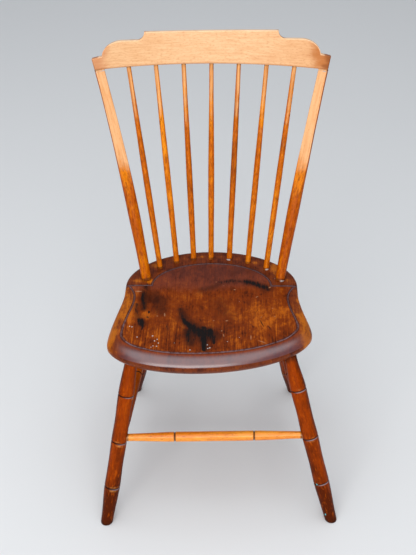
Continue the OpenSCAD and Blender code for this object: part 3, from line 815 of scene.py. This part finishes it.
def leg_skin(name, top, foot, rings, seed):
    """A leg as rows of rounds along its axis, crowded at the rings; the lowest row is slid
    along the leg to lie on the floor, with a small worn round at its rim."""
    a = np.array([*foot, 0.0])
    b = np.array([*top, seat_bottom])
    length, along, level, back = lathe_axes(a, b)
    h = np.linspace(0, length + 3, 90)
    for share in rings:
        h = np.r_[h, length * share + ring_reach]
    h = np.unique(np.round(np.r_[h, 0.4, 1.0, 1.8, 2.8, 4.0], 3))
    around, height = rounds(h, 64)
    r, near, past = leg_radius(height, length, rings)
    draw = np.random.default_rng(seed)
    p = draw.uniform(0, 2 * np.pi, 6)
    r = r + 0.16 * np.sin(2 * around + p[0] + height / 90) + 0.10 * np.sin(
        height / 11 + p[1] + 2 * np.sin(around + p[2])
    )
    r = r + 0.12 * np.sin(height / 29 + p[3])
    r = r - 1.6 * (1 - np.sqrt(1 - np.clip(1 - height / 2.6, 0, 1) ** 2))
    side, rear = r * np.cos(around), r * np.sin(around)
    # Slide each point up the leg so that the foot's row lies level on the floor
    tilt = -(side * level[2] + rear * back[2]) / along[2]
    run = height + tilt * np.clip(1 - height / 60, 0, 1)
    points = round_axis(a, (along, level, back), run, side, rear)
    # darker towards the foot, and painted shade where the leg meets the seat
    foot_darkening = np.exp(-height / 16)
    facts = {
        "grain": np.dstack([side, rear, run]) / 1000 + draw.uniform(0, 9, 3),
        # painted shadow in each ring's groove, under its upper lip
        "line_shade": np.clip(1 - near / 2.9, 0, 1),
        # painted glint: a pale lavender line painted on each ring's lower lip
        "painted_glint": np.exp(-(((past + 1.5) / 1.0) ** 2)) * (0.65 + 0.35 * np.sin(2 * around + p[1])),
        "grime_and_shade": np.clip(
            0.9 * foot_darkening + 0.8 * np.exp(-(((length - height) / 12) ** 2)), 0, 1
        ),
        "rub": 0.8 * np.exp(-(((near - 4.5) / 3) ** 2)) * (0.5 + 0.5 * np.sin(around + p[4])),
        # painted shade: lighter on the front, darker on the sides and back; also darker towards
        # the foot
        "tone": 0.76
        + 0.22 * np.sin(height / 70 + p[5]) * np.sin(around + p[4])
        + 0.45 * (1 - np.clip(-np.sin(around), 0, 1)) ** 2
        + 0.75 * ease(1 - height / 125),
    }
    return closed_skin(name, points, facts)


def turned_finish(
    piece, name, deep, middle, bright, blotch, specular, mottled=0.65, coat=0.0, spots=(),
    glue=False, honey=None,
):
    """Stained and varnished turned maple: fine streaks along the piece, blotches where the
    stain took unevenly, painted shade in the scored rings with a painted glint on their
    lower lips, a rubbed edge beside them, and dirt and painted shade at the ends. honey is
    for a flat worn bare that also carries a painted sheen: two colours, and where between
    0 and 1 its wear starts and is full."""
    dirt_and_shade, rubbed = (0.030, 0.008, 0.003), (0.62, 0.24, 0.06)
    f = Finish(name)
    grain = f.fact("grain", vector=True)
    streak = f.noise(f.stretch(grain, (260, 260, 14)), 3, 0.6, 0.3)
    fibre = f.noise(f.stretch(grain, (800, 800, 40)), 2, 0.6)
    patch = f.noise(f.stretch(grain, (60, 60, 28)), 4, 0.62)
    pore = f.noise(f.stretch(grain, (1100, 1100, 160)), 1, 0.5)
    shade = f.sum(
        "MULTIPLY_ADD", f.fact("tone"), 0.75, f.sum("MULTIPLY_ADD", streak, 0.55, -0.275)
    )
    shade = f.uneven(shade, patch, blotch)
    colour = f.mix(middle, bright, f.between(shade, 0.40, 0.02))
    colour = f.mix(colour, deep, f.between(shade, 0.42, 0.95))
    colour = f.mix(colour, dirt_and_shade, f.between(pore, 0.56, 0.74, 0.0, 0.5))
    mottle = f.noise(f.stretch(grain, (240, 240, 75), (6, 0, 0)), 3, 0.65)
    colour = f.mix(colour, deep, f.between(mottle, 0.50, 0.70, 0.0, mottled))
    colour = f.mix(colour, bright, f.between(mottle, 0.46, 0.30, 0.0, 0.5))
    colour = f.mix(colour, deep, f.between(fibre, 0.58, 0.75, 0.0, 0.45))
    rub = f.sum("MULTIPLY", f.fact("rub"), f.between(patch, 0.42, 0.66))
    colour = f.mix(colour, rubbed, f.between(rub, 0.15, 0.9, 0.0, 0.7))
    # Dirt and painted shade at the ends: darker at the feet, painted shadow where rods and
    # posts meet the seat and crest and where legs meet the seat, and dark joints at the rungs'
    # ends
    grime_and_shade = f.uneven(f.fact("grime_and_shade"), patch, 0.8)
    colour = f.mix(colour, dirt_and_shade, f.between(grime_and_shade, 0.25, 0.95, 0.0, 0.75))
    # Painted shade: dark in the scored rings and where a post or rod meets the crest
    line_shade = f.fact("line_shade")
    colour = f.mix(colour, (0.010, 0.004, 0.003), f.between(line_shade, 0.18, 0.7, 0.0, 0.85))
    # Painted glint on the rings' lower lips
    colour = f.mix(colour, (0.28, 0.19, 0.20), f.between(f.fact("painted_glint"), 0.25, 0.75, 0.0, 0.85))
    rough = f.sum("MULTIPLY_ADD", patch, 0.22, 0.26)
    rough = f.sum("MULTIPLY_ADD", f.between(grime_and_shade, 0.3, 0.9), 0.2, rough)
    # The honey flat: worn bare wood carrying a painted sheen and highlight
    if honey:
        bare_and_sheen, streaked, low, high = honey
        speck = f.noise(f.stretch(grain, (420, 420, 180), (4, 0, 0)), 2, 0.6)
        pale = f.mix(bare_and_sheen, streaked, f.between(streak, 0.40, 0.65))
        pale = f.mix(pale, (0.58, 0.20, 0.050), f.between(speck, 0.55, 0.75, 0.0, 0.5))
        worn = f.uneven(f.fact("flat"), patch, 1.3)
        colour = f.mix(colour, pale, f.between(worn, low, high, 0.0, 0.95))
    if glue:
        bead = f.between(f.uneven(f.fact("glue"), patch, 1.6), 0.45, 0.75)
        colour = f.mix(colour, (0.46, 0.40, 0.38), bead)
    if spots:
        fleck = f.between(f.marks(f.place(), spots), 0.05, 0.4)
        colour = f.mix(colour, (0.10, 0.52, 0.56), fleck)
    normal = f.bump(streak, 0.16)
    normal = f.bump(fibre, 0.06, normal)
    f.done(piece, colour, rough, normal, specular, coat)


# Paint specks on the front right leg
turquoise = [
    (225, -191, 93, 6, 5, 0), (230, -193, 85, 4, 4, 0), (246, -209, 20, 5, 4, 0),
]
for number, (node, (top, foot, rings)) in enumerate(legs.items()):
    leg = leg_skin("turned_" + node, top, foot, rings, 20 + number)
    turned_finish(
        leg,
        node + "_stain",
        deep=(0.080, 0.010, 0.0),
        middle=(0.29, 0.038, 0.0),
        bright=(0.48, 0.084, 0.0),
        specular=0.05,
        blotch=0.75,
        mottled=0.3,
        spots=turquoise if node == "front_right_leg" else (),
    )
    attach(leg, "root")
    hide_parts(node)


# ---------------------------------------------------------------------------
# Stretchers
# Four turned rungs, fattest in the middle with two scored rings, tenoned into the
# legs. The front one is the brightest, its stain polished by heels.
# ---------------------------------------------------------------------------
stretcher_d, stretcher_tenon_d = 21.0, 15.6
stretcher_rings = (0.292, 0.708)
stretcher_taper = 0.3
# A rung's drawn end stops this far short of the leg's axis, hidden in the leg
stretcher_end = 8.0
# The leg and the height that each end goes into
stretchers = {
    "front_stretcher": ("front_left_leg", 192, "front_right_leg", 197),
    "rear_stretcher": ("rear_left_leg", 206, "rear_right_leg", 206),
    "left_stretcher": ("front_left_leg", 150, "rear_left_leg", 180),
    "right_stretcher": ("front_right_leg", 150, "rear_right_leg", 180),
}


def on_leg(node, z):
    """Point of a leg's axis at height z: a share z over the seat's underside of the way
    from its foot to its top."""
    top, foot, _ = legs[node]
    a, b = np.array([*foot, 0.0]), np.array([*top, seat_bottom])
    return a + (b - a) * z / seat_bottom


def stretcher_skin(name, a, b, seed):
    """A stretcher as rows of rounds from inside one leg to inside the other. The radius
    eases from the tenon's to the middle's, with a V at each ring."""
    length, along, level, back = lathe_axes(a, b)
    hidden = leg_ring_d / 2 + 1
    h = np.linspace(stretcher_end, length - stretcher_end, 120)
    for share in stretcher_rings:
        h = np.r_[h, length * share + ring_reach]
    h = np.unique(np.round(h, 3))
    around, height = rounds(h, 48)
    reach = np.minimum(height - hidden, length - hidden - height) / (length - 2 * hidden)
    r = stretcher_tenon_d / 2 + (stretcher_d - stretcher_tenon_d) / 2 * ease(
        reach / stretcher_taper
    )
    near = np.min([np.abs(height - length * share) for share in stretcher_rings], axis=0)
    r = r - ring_cut * np.clip(1 - near / ring_half_w, 0, None)
    draw = np.random.default_rng(seed)
    p = draw.uniform(0, 2 * np.pi, 4)
    r = r + 0.12 * np.sin(2 * around + p[0]) + 0.08 * np.sin(height / 13 + p[1] + around)
    side, up = r * np.cos(around), r * np.sin(around)
    points = round_axis(a, (along, level, back), height, side, up)
    facts = {
        "grain": np.dstack([side, up, height]) / 1000 + draw.uniform(0, 9, 3),
        "line_shade": np.clip(1 - near / 3.4, 0, 1),
        "painted_glint": 0 * near,
        "grime_and_shade": np.exp(-(((np.minimum(height, length - height) - 16) / 5) ** 2)),
        "rub": 0.9 * np.exp(-(((near - 5) / 4) ** 2)),
        # painted shade: each rung darker on one side, the front rung on its back
        "tone": 0.26
        + 0.2 * np.sin(height / 60 + p[2]) * np.sin(around + p[3])
        + 0.35 * (0.5 + 0.5 * np.cos(around)) ** 2,
    }
    return closed_skin(name, points, facts)


for number, (node, (leg_a, z_a, leg_b, z_b)) in enumerate(stretchers.items()):
    rung = stretcher_skin("turned_" + node, on_leg(leg_a, z_a), on_leg(leg_b, z_b), 40 + number)
    front = node == "front_stretcher"
    turned_finish(
        rung,
        node + "_stain",
        deep=(0.37, 0.064, 0.001) if front else (0.09, 0.011, 0.0),
        middle=(0.78, 0.198, 0.003) if front else (0.26, 0.036, 0.0),
        bright=(0.95, 0.345, 0.030) if front else (0.42, 0.080, 0.0),
        blotch=0.5 if front else 0.75,
        mottled=0.3,
        coat=0.6 if front else 0.0,
        specular=0.2 if front else 0.05,
    )
    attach(rung, "root")
    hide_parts(node)


# ---------------------------------------------------------------------------
# Crest rail
# A maple board steamed to a bend, thinner along its top, and sawn to a stepped
# outline: ears, quarter rounds, shoulders and a raised tablet. Its front has
# rubbed to pale honey, partly a painted sheen, and its arrises are softened, with a
# painted highlight along the top arris and painted shade under the lower edge.
# ---------------------------------------------------------------------------
crest_z, crest_y, crest_tilt, crest_r = 827.0, 298.0, np.radians(11.5), 500.0
crest_half_w, crest_t, crest_top_t, crest_taper_h = 238.0, 18.0, 13.0, 72.5
crest_arris, crest_skew = 1.5, 0.0095
crest_end = crest_half_w + 0.2
# The outline as (across, up) from the middle of the lower edge: the ear's tip and the
# notch above it, then the quarter round and the cove as a middle and two half sizes
ear_tip, notch = (243.0, 25.0), (223.4, 27.9)
round_at, round_size = (186, 28), (37, 28)
tablet_h, tablet_half_w, tablet_hollow = 70.5, 138.0, 2.3
cove_at, cove_size = (152, tablet_h), (14, 16)
cove_reach = 165


def on_crest(across, depth, up):
    """Point of the crest: across the chair, depth behind its bent front face, and up that
    face, which is a cylinder of the bend's radius tipped back by the tilt."""
    y = np.sqrt((crest_r + depth) ** 2 - across**2) - crest_r
    return np.stack(
        [
            across + 0 * y,
            crest_y + y * np.cos(crest_tilt) + up * np.sin(crest_tilt),
            crest_z - y * np.sin(crest_tilt) + up * np.cos(crest_tilt),
        ],
        -1,
    )


def crest_edges(count):
    """Top outline from the left lower corner to the right one, the direction into the board
    from each point of it, and the lower edge below it, as rows of (across, up). The top
    runs up the ear, over its quarter round, along the shoulder and up a cove to the
    tablet, in about count even steps, with a few more at each corner."""
    a = np.linspace(0, np.pi / 2, 24)
    side = np.vstack(
        [
            [[crest_end, 0.0], ear_tip, notch],
            np.column_stack(
                [
                    round_at[0] + round_size[0] * np.cos(a),
                    round_at[1] + round_size[1] * np.sin(a),
                ]
            ),
            np.column_stack(
                [
                    cove_at[0] - cove_size[0] * np.sin(a),
                    cove_at[1] - cove_size[1] * np.cos(a),
                ]
            ),
        ]
    )
    # The tablet's top edge is a little hollow
    t = np.linspace(-0.8, 0.8, 9)
    hollow = np.column_stack([tablet_half_w * t, tablet_h - tablet_hollow * (1 - t * t)])
    loop = np.vstack([side * [-1, 1], hollow, side[::-1]])
    loop[:, 1] += crest_skew * loop[:, 0] * (loop[:, 1] > 0)
    step = np.linalg.norm(np.diff(loop, axis=0), axis=1)
    keep = np.r_[True, step > 1e-6]
    loop, run = loop[keep], np.r_[0, np.cumsum(step[step > 1e-6])]
    at = np.linspace(0, run[-1], count)
    # Curves are drawn in short pieces, so a corner is a point next to a long one
    long_piece = 8
    before = np.abs(np.diff(run, prepend=-9)) > long_piece
    after = np.abs(np.diff(run, append=1e9)) > long_piece
    corners = run[before | after]
    for corner in corners:
        at = np.r_[at, corner + np.array([-1.2, -0.5, 0.0, 0.5, 1.2])]
    at = np.unique(np.round(np.clip(at, 0, run[-1]), 3))
    top = walk(loop, run, at)
    slope = np.gradient(top, at, axis=0)
    slope /= np.linalg.norm(slope, axis=1)[:, None]
    inward = np.column_stack([slope[:, 1], -slope[:, 0]])
    lower = np.column_stack([np.clip(top[:, 0], -crest_end, crest_end), 0 * at])
    return top, inward, lower


def crest_skin(name):
    """The board as sections across its length. A section climbs the front face, rounds the
    top arris, goes down the back, and rounds the lower arris. The board's thickness tapers
    evenly from its foot to its top."""
    top, inward, lower = crest_edges(620)
    face = np.linspace(0, 1, 18)
    turn = np.linspace(0, np.pi / 2, 6)[1:-1]
    r = crest_arris
    parts = []
    low_in = lower + [0, r]
    top_in = top + inward * r
    # Where the board tapers to its lower corner the two insets would cross
    tight = top_in[:, 1] < low_in[:, 1]
    middle = (top_in + low_in) / 2
    low_in = np.where(tight[:, None], middle, low_in)
    top_in = np.where(tight[:, None], middle, top_in)
    # At the tablet's corners they would cross too, so they are held in order
    left = (top[:, 0] > -cove_reach) & (top[:, 0] < 0)
    right = (top[:, 0] >= 0) & (top[:, 0] < cove_reach)
    top_in[left, 0] = np.maximum.accumulate(top_in[left, 0])
    top_in[right, 0] = np.minimum.accumulate(top_in[right, 0][::-1])[::-1]
    # Each part is a row of (across, up), its depth, and 1 if measured from the back
    for t in face:
        parts.append((low_in + (top_in - low_in) * t, 0.0, 0))
    for t in turn:
        parts.append((top_in + (top - top_in) * np.sin(t), r * (1 - np.cos(t)), 0))
    parts.append((top, r, 0))
    parts.append((top, -r, 1))
    for t in turn[::-1]:
        parts.append((top_in + (top - top_in) * np.sin(t), -r * (1 - np.cos(t)), 1))
    for t in face[::-1]:
        parts.append((low_in + (top_in - low_in) * t, 0.0, 1))
    for t in turn:
        parts.append((low_in + (lower - low_in) * np.sin(t), -r * (1 - np.cos(t)), 1))
    parts.append((lower, -r, 1))
    parts.append((lower, r, 0))
    for t in turn[::-1]:
        parts.append((low_in + (lower - low_in) * np.sin(t), r * (1 - np.cos(t)), 0))
    across = np.array([p[0][:, 0] for p in parts]).T
    up = np.array([p[0][:, 1] for p in parts]).T
    behind = np.array([p[2] for p in parts])
    thick = crest_t + (crest_top_t - crest_t) * up / crest_taper_h
    depth = np.array([p[1] for p in parts]) + behind * thick
    points = on_crest(across, depth, up)
    edge_gap = np.minimum(
        np.linalg.norm(np.dstack([across, up]) - top[:, None], axis=2), np.abs(up)
    )
    facts = {
        "grain": np.dstack([depth, up, across]) / 1000 + [3.1, 1.7, 0.4],
        # rub: worn arrises, and the painted highlight along the top edge
        "rub": np.exp(-edge_gap / 2.2)
        * ease(up / 3)
        * (1 - np.exp(-(((np.abs(across) - 143) / 7) ** 2)))
        * (1 - ease((np.abs(across) - 229) / 5)),
        # painted shade on the underside, and darker end faces
        "underside_shade_dark_ends": np.maximum(
            ease((1.5 - up) / 1.2) * ease((depth - 0.2) / 1.5),
            0.5 * ease((np.abs(across) - 236) / 3) * ease(depth - 0.4) * (1 - behind),
        ),
        "rear": behind + 0.0 * up,
        "spot": np.dstack([across, up, depth]) / 1000,
    }
    return closed_skin(name, points, facts)


def crest_finish(piece):
    """Worn maple: pale honey, partly a painted sheen, with fine level streaks, a few darker
    growth lines, a brown stain at the right ear, bare rounded arrises with a painted
    highlight along the top, painted shade along the lower edge and underside, and a darker
    back."""
    f = Finish("crest_wood")
    grain = f.fact("grain", vector=True)
    streak = f.noise(f.stretch(grain, (160, 300, 26)), 4, 0.65, 0.5)
    fibre = f.noise(f.stretch(grain, (600, 800, 60)), 2, 0.6)
    patch = f.noise(f.stretch(grain, (16, 34, 14)), 4, 0.65)
    fleck = f.noise(f.stretch(grain, (330, 330, 150)), 2, 0.6)
    line = f.noise(f.stretch(grain, (90, 150, 3.2), (5, 2, 0)), 4, 0.7, 1.0)
    # pale honey front: worn maple with a painted sheen in it
    colour = f.mix((0.75, 0.40, 0.185), (0.84, 0.505, 0.262), f.between(streak, 0.32, 0.62))
    colour = f.mix(colour, (0.66, 0.285, 0.110), f.between(patch, 0.52, 0.78, 0.0, 0.5))
    colour = f.mix(colour, (0.50, 0.180, 0.065), f.between(line, 0.60, 0.76, 0.0, 0.30))
    colour = f.mix(colour, (0.62, 0.260, 0.100), f.between(fleck, 0.50, 0.70, 0.0, 0.55))
    colour = f.mix(colour, (0.55, 0.21, 0.075), f.between(fibre, 0.60, 0.78, 0.0, 0.35))
    spot = f.fact("spot", vector=True)
    split = f.nodes.new("ShaderNodeSeparateXYZ")
    f.put(split.inputs[0], spot)
    right = f.uneven(split.outputs["X"], patch, 0.05)
    high = split.outputs["Y"]
    ear = f.sum("MULTIPLY", f.between(right, 0.192, 0.222), f.between(high, -0.006, 0.010))
    colour = f.mix(colour, (0.44, 0.125, 0.018), f.sum("MULTIPLY", ear, 0.85))
    end = f.sum("MULTIPLY", f.between(right, 0.222, 0.238), 0.88)
    colour = f.mix(colour, (0.16, 0.030, 0.004), end)
    left = f.between(right, -0.206, -0.232, 0.0, 0.75)
    colour = f.mix(colour, (0.60, 0.230, 0.095), left)
    # Painted shade along the lower edge of the front face
    foot = f.between(high, 0.0045, 0.0005, 0.0, 0.55)
    colour = f.mix(colour, (0.42, 0.130, 0.035), foot)
    orange = f.between(right, 0.08, 0.22, 0.0, 0.25)
    colour = f.mix(colour, (0.60, 0.20, 0.045), orange)
    rear = f.fact("rear")
    aged = f.mix((0.20, 0.045, 0.006), (0.38, 0.105, 0.014), f.between(streak, 0.35, 0.65))
    colour = f.mix(colour, aged, f.between(rear, 0.2, 0.8, 0.0, 0.95))
    # Painted shade on the underside, and darker end faces
    colour = f.mix(colour, (0.050, 0.014, 0.004), f.between(f.fact("underside_shade_dark_ends"), 0.3, 0.9))
    # Bare arrises worn pale, with a painted highlight along the top edge
    bare_and_sheen = f.sum("MULTIPLY", f.fact("rub"), f.between(patch, 0.3, 0.6, 0.35, 1.0))
    colour = f.mix(colour, (0.93, 0.66, 0.42), f.between(bare_and_sheen, 0.2, 0.9, 0.0, 0.75))
    rough = f.sum("MULTIPLY_ADD", patch, 0.22, 0.26)
    normal = f.bump(streak, 0.20)
    normal = f.bump(fibre, 0.10, normal)
    f.done(piece, colour, rough, normal, specular=0.3)


crest = crest_skin("crest_board")
crest_finish(crest)
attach(crest, "root")
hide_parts("crest_rail")


# ---------------------------------------------------------------------------
# Back posts
# Two stout maple posts, round at the seat and shaved flat in front above the
# middle, leaning out and back to the crest, where old glue shows at the joint.
# ---------------------------------------------------------------------------
post_d, post_swell_d, post_top_d = 21.0, 25.0, 20.0
post_swell_at = 0.36
# The flat's distance from the axis, and where along the post it starts and is full
post_flat, post_flat_from, post_flat_full = 5.0, 0.3, 0.62
post_foot_y = 103.0
post_head_x = 230.0
post_turn = np.radians(22)
# Each post's sideways foot, and how far it has warped inwards
posts = {"left_post": (-1, 141.5, 5.0), "right_post": (1, 147.5, 2.0)}
# Width over which the flat's corner is softened
flat_corner = 0.8


def crest_foot(across):
    """Middle of the crest's lower face: half its thickness straight behind its front edge."""
    behind = np.array([0.0, np.cos(crest_tilt), -np.sin(crest_tilt)]) * crest_t / 2
    return on_crest(np.array(float(across)), 0.0, 0.0) + behind


def swelled(t, swell_at, foot_d, swell_d, top_d):
    """Radius at share t of the length: eased up from the foot's to the swell's, and down
    from there to the top's."""
    return np.where(
        t < swell_at,
        foot_d / 2 + (swell_d - foot_d) / 2 * ease(t / swell_at),
        swell_d / 2 - (swell_d - top_d) / 2 * ease((t - swell_at) / (1 - swell_at)),
    )


def glue_bead(height, around, width, lumps, phase):
    """Glue squeezed out round a foot: a bell curve of the height over the width, thicker
    and thinner in that many lumps."""
    lumpy = 0.6 + 0.4 * np.sin(lumps * around + phase)
    return np.exp(-((np.clip(height, 0, None) / width) ** 2)) * lumpy


def post_skin(name, side, foot_x, flare):
    """A post as rows of rounds from just inside the seat to just inside the crest's lower
    edge. The radius swells and eases away, and the front of each row is cut back to the
    shaved flat, with rounded corners."""
    a = np.array([side * foot_x, post_foot_y, seat_h])
    b = crest_foot(side * post_head_x)
    length, along, level, back = lathe_axes(a, b)
    h = np.r_[
        -3, -1, 0, 0.6, 1.2, 2, 3, np.linspace(5, length - 5, 150), length - 2, length - 0.6
    ]
    around, height = rounds(h, 60)
    t = np.clip(height / length, 0, 1)
    r = swelled(t, post_swell_at, post_d, post_swell_d, post_top_d)
    shaved = ease((t - post_flat_from) / (post_flat_full - post_flat_from))
    cut = r + (post_flat - r) * shaved
    draw = np.random.default_rng(60 + int(side > 0))
    p = draw.uniform(0, 2 * np.pi, 6)
    r = r + 0.12 * np.sin(2 * around + p[0] + height / 80) + 0.10 * np.sin(height / 17 + p[1])
    bead = glue_bead(height, around, 1.3, 3, p[2])
    r = r + 0.5 * bead
    u, v = r * np.cos(around), r * np.sin(around)
    # Soft corner: the flat takes over from the round over about a millimetre
    front = -(cut + 0.10 * np.sin(height / 21 + p[3]))
    share = np.clip(0.5 + 0.5 * (front - v) / flat_corner, 0, 1)
    v = v + (front - v) * share + flat_corner * share * (1 - share)
    inward = -side * flare * 4 * t * (1 - t)
    # The flat is turned inwards to meet the bent crest
    flat_level = level * np.cos(post_turn) - back * side * np.sin(post_turn)
    flat_back = back * np.cos(post_turn) + level * side * np.sin(post_turn)
    points = (
        a
        + height[..., None] * along
        + inward[..., None] * level
        + u[..., None] * flat_level
        + v[..., None] * flat_back
    )
    on_flat = ease((-v - cut + 2.0) / 2.0) * shaved
    edge = np.exp(-(((u**2 + v**2) ** 0.5 - r) / 0.6) ** 2) * np.exp(
        -(((-v - cut) / 1.6) ** 2)
    ) * shaved
    facts = {
        "grain": np.dstack([u, v, height]) / 1000 + draw.uniform(0, 9, 3),
        # painted shadow under the crest at the post's top
        "line_shade": 0.9 * np.exp(-(((length - height) / (4.2 + np.sin(3 * around))) ** 2)),
        "painted_glint": 0 * t,
        # painted contact shadow at the post's foot and painted shade under the crest
        "grime_and_shade": np.clip(
            0.9 * np.exp(-((height / 5) ** 2)) + 0.5 * np.exp(-(length - height) / 6), 0, 1
        ),
        "rub": 0.7 * edge,
        # painted shade: lighter on the front flat, darker on the sides and back
        "tone": 0.30
        + (0.16 if side > 0 else 0.02) * ease((0.5 - t) / 0.3)
        + 0.15 * np.sin(height / 55 + p[4]) * np.sin(around + p[5])
        + 0.45 * (1 - np.clip(-np.sin(around), 0, 1)) ** 1.5,
        # the flat's pale honey: worn wood with a painted sheen of the sky on its upper part
        "flat": on_flat * ease((t - 0.28) / 0.40),
        "glue": np.clip(
            (0.75 if side > 0 else 0.2) * bead
            + 0.8 * np.exp(-(((length - height - 4.5) / 1.2) ** 2)),
            0, 1,
        ),
    }
    return closed_skin(name, points, facts)


for node, (side, foot_x, flare) in posts.items():
    post = post_skin("turned_" + node, side, foot_x, flare)
    turned_finish(
        post,
        node + "_stain",
        deep=(0.15, 0.022, 0.0),
        middle=(0.44, 0.078, 0.0),
        bright=(0.70, 0.190, 0.0),
        glue=True,
        blotch=0.9,
        specular=0.1,
        # honey: worn bare wood with a painted sheen on it
        honey=((0.82, 0.45, 0.215), (0.72, 0.34, 0.135), 0.25, 1.0),
    )
    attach(post, "root")
    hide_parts(node)


# ---------------------------------------------------------------------------
# Rods
# Seven slim maple rods, swelled below the middle and slimmest at the crest. The
# stain took unevenly, so each has its own dark and light stretches.
# ---------------------------------------------------------------------------
rod_d, rod_swell_d, rod_top_d, rod_pitch = 12.0, 13.2, 9.2, 57.0
rod_swell_at = 0.38
# The feet stand on an arc, half an ellipse, at equal shares of its half width
rod_arc_a, rod_arc_b, rod_arc_y, rod_spread = 150.0, 105.0, 78.5, 0.26
# The rods were bored by eye, so each foot and head strays a little sideways
rod_foot_stray = (2.5, -1, -2.5, -3, -1.5, 1, 1.5)
rod_head_stray = (-1, -2.5, -2, -0.5, 0, 1, 1)
# Darkness of each rod's stain at six heights from seat to crest
rod_tones = [
    (0.30, 0.35, 0.45, 0.70, 0.35, 0.00),
    (0.30, 0.35, 0.20, 0.15, 0.15, 0.00),
    (0.30, 0.40, 0.75, 0.60, 0.25, 0.00),
    (0.30, 0.30, 0.45, 0.30, 0.20, 0.10),
    (0.35, 0.45, 0.80, 0.85, 0.60, 0.15),
    (0.30, 0.35, 0.40, 0.45, 0.10, 0.00),
    (0.35, 0.35, 0.30, 0.65, 0.25, 0.00),
]


def rod_skin(name, k, tones):
    """A rod as rows of rounds from the seat to the crest. The radius eases up to the swell
    and down again to the top."""
    foot_x = k * rod_spread * rod_arc_a + rod_foot_stray[k + 3]
    foot = np.array(
        [foot_x, rod_arc_y + rod_arc_b * np.sqrt(1 - (foot_x / rod_arc_a) ** 2), seat_h]
    )
    head = crest_foot(k * rod_pitch + rod_head_stray[k + 3])
    length, along, level, back = lathe_axes(foot, head)
    h = np.r_[-3, -1, 0, 0.5, 1.0, 1.7, 2.5, np.linspace(4, length + 3, 120)]
    around, height = rounds(h, 36)
    t = np.clip(height / length, 0, 1)
    r = swelled(t, rod_swell_at, rod_d, rod_swell_d, rod_top_d)
    draw = np.random.default_rng(80 + k)
    p = draw.uniform(0, 2 * np.pi, 5)
    bead = glue_bead(height, around, 1.1, 2, p[2])
    r = r + 0.10 * np.sin(2 * around + p[0] + height / 60) + 0.07 * np.sin(height / 15 + p[1])
    r = r + 0.4 * bead
    side, rear = r * np.cos(around), r * np.sin(around)
    points = round_axis(foot, (along, level, back), height, side, rear)
    facts = {
        "grain": np.dstack([side, rear, height]) / 1000 + draw.uniform(0, 9, 3),
        # painted shadow under the crest at the rod's top
        "line_shade": 0.9 * np.exp(-(((length - height) / 3.4) ** 2)),
        "painted_glint": 0 * t,
        # painted contact shadow at the rod's foot and painted shade under the crest
        "grime_and_shade": np.clip(
            0.9 * np.exp(-((height / 3.5) ** 2)) + 0.7 * np.exp(-(length - height) / 4), 0, 1
        ),
        "rub": 0.5 * np.exp(-(((t - 0.15) / 0.05) ** 2)) * (0.5 + 0.5 * np.cos(around + p[3])),
        # stain darkness per rod, plus painted shade: lighter on the front, darker on the sides
        # and back
        "tone": np.interp(t, np.linspace(0, 1, 6), tones)
        + 0.06
        + 0.5 * (1 - np.clip(-np.sin(around), 0, 1)) ** 1.8,
        # pale upper front: some wear with a painted highlight on it
        "flat": ease((t - 0.5) / 0.5) * np.clip(-np.sin(around), 0, 1) ** 2,
        "glue": np.clip(bead, 0, 1) * (0.85 if k in (1, 3) else 0.3),
    }
    return closed_skin(name, points, facts)


for number, tones in enumerate(rod_tones):
    node = f"rod_{number + 1}"
    rod = rod_skin("turned_" + node, number - 3, tones)
    turned_finish(
        rod,
        node + "_stain",
        deep=(0.17, 0.026, 0.0),
        middle=(0.54, 0.115, 0.0),
        bright=(0.86, 0.27, 0.006),
        glue=True,
        blotch=0.8,
        specular=0.1,
        honey=((0.80, 0.39, 0.150), (0.56, 0.21, 0.060), 0.28, 0.80),
    )
    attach(rod, "root")
    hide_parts(node)
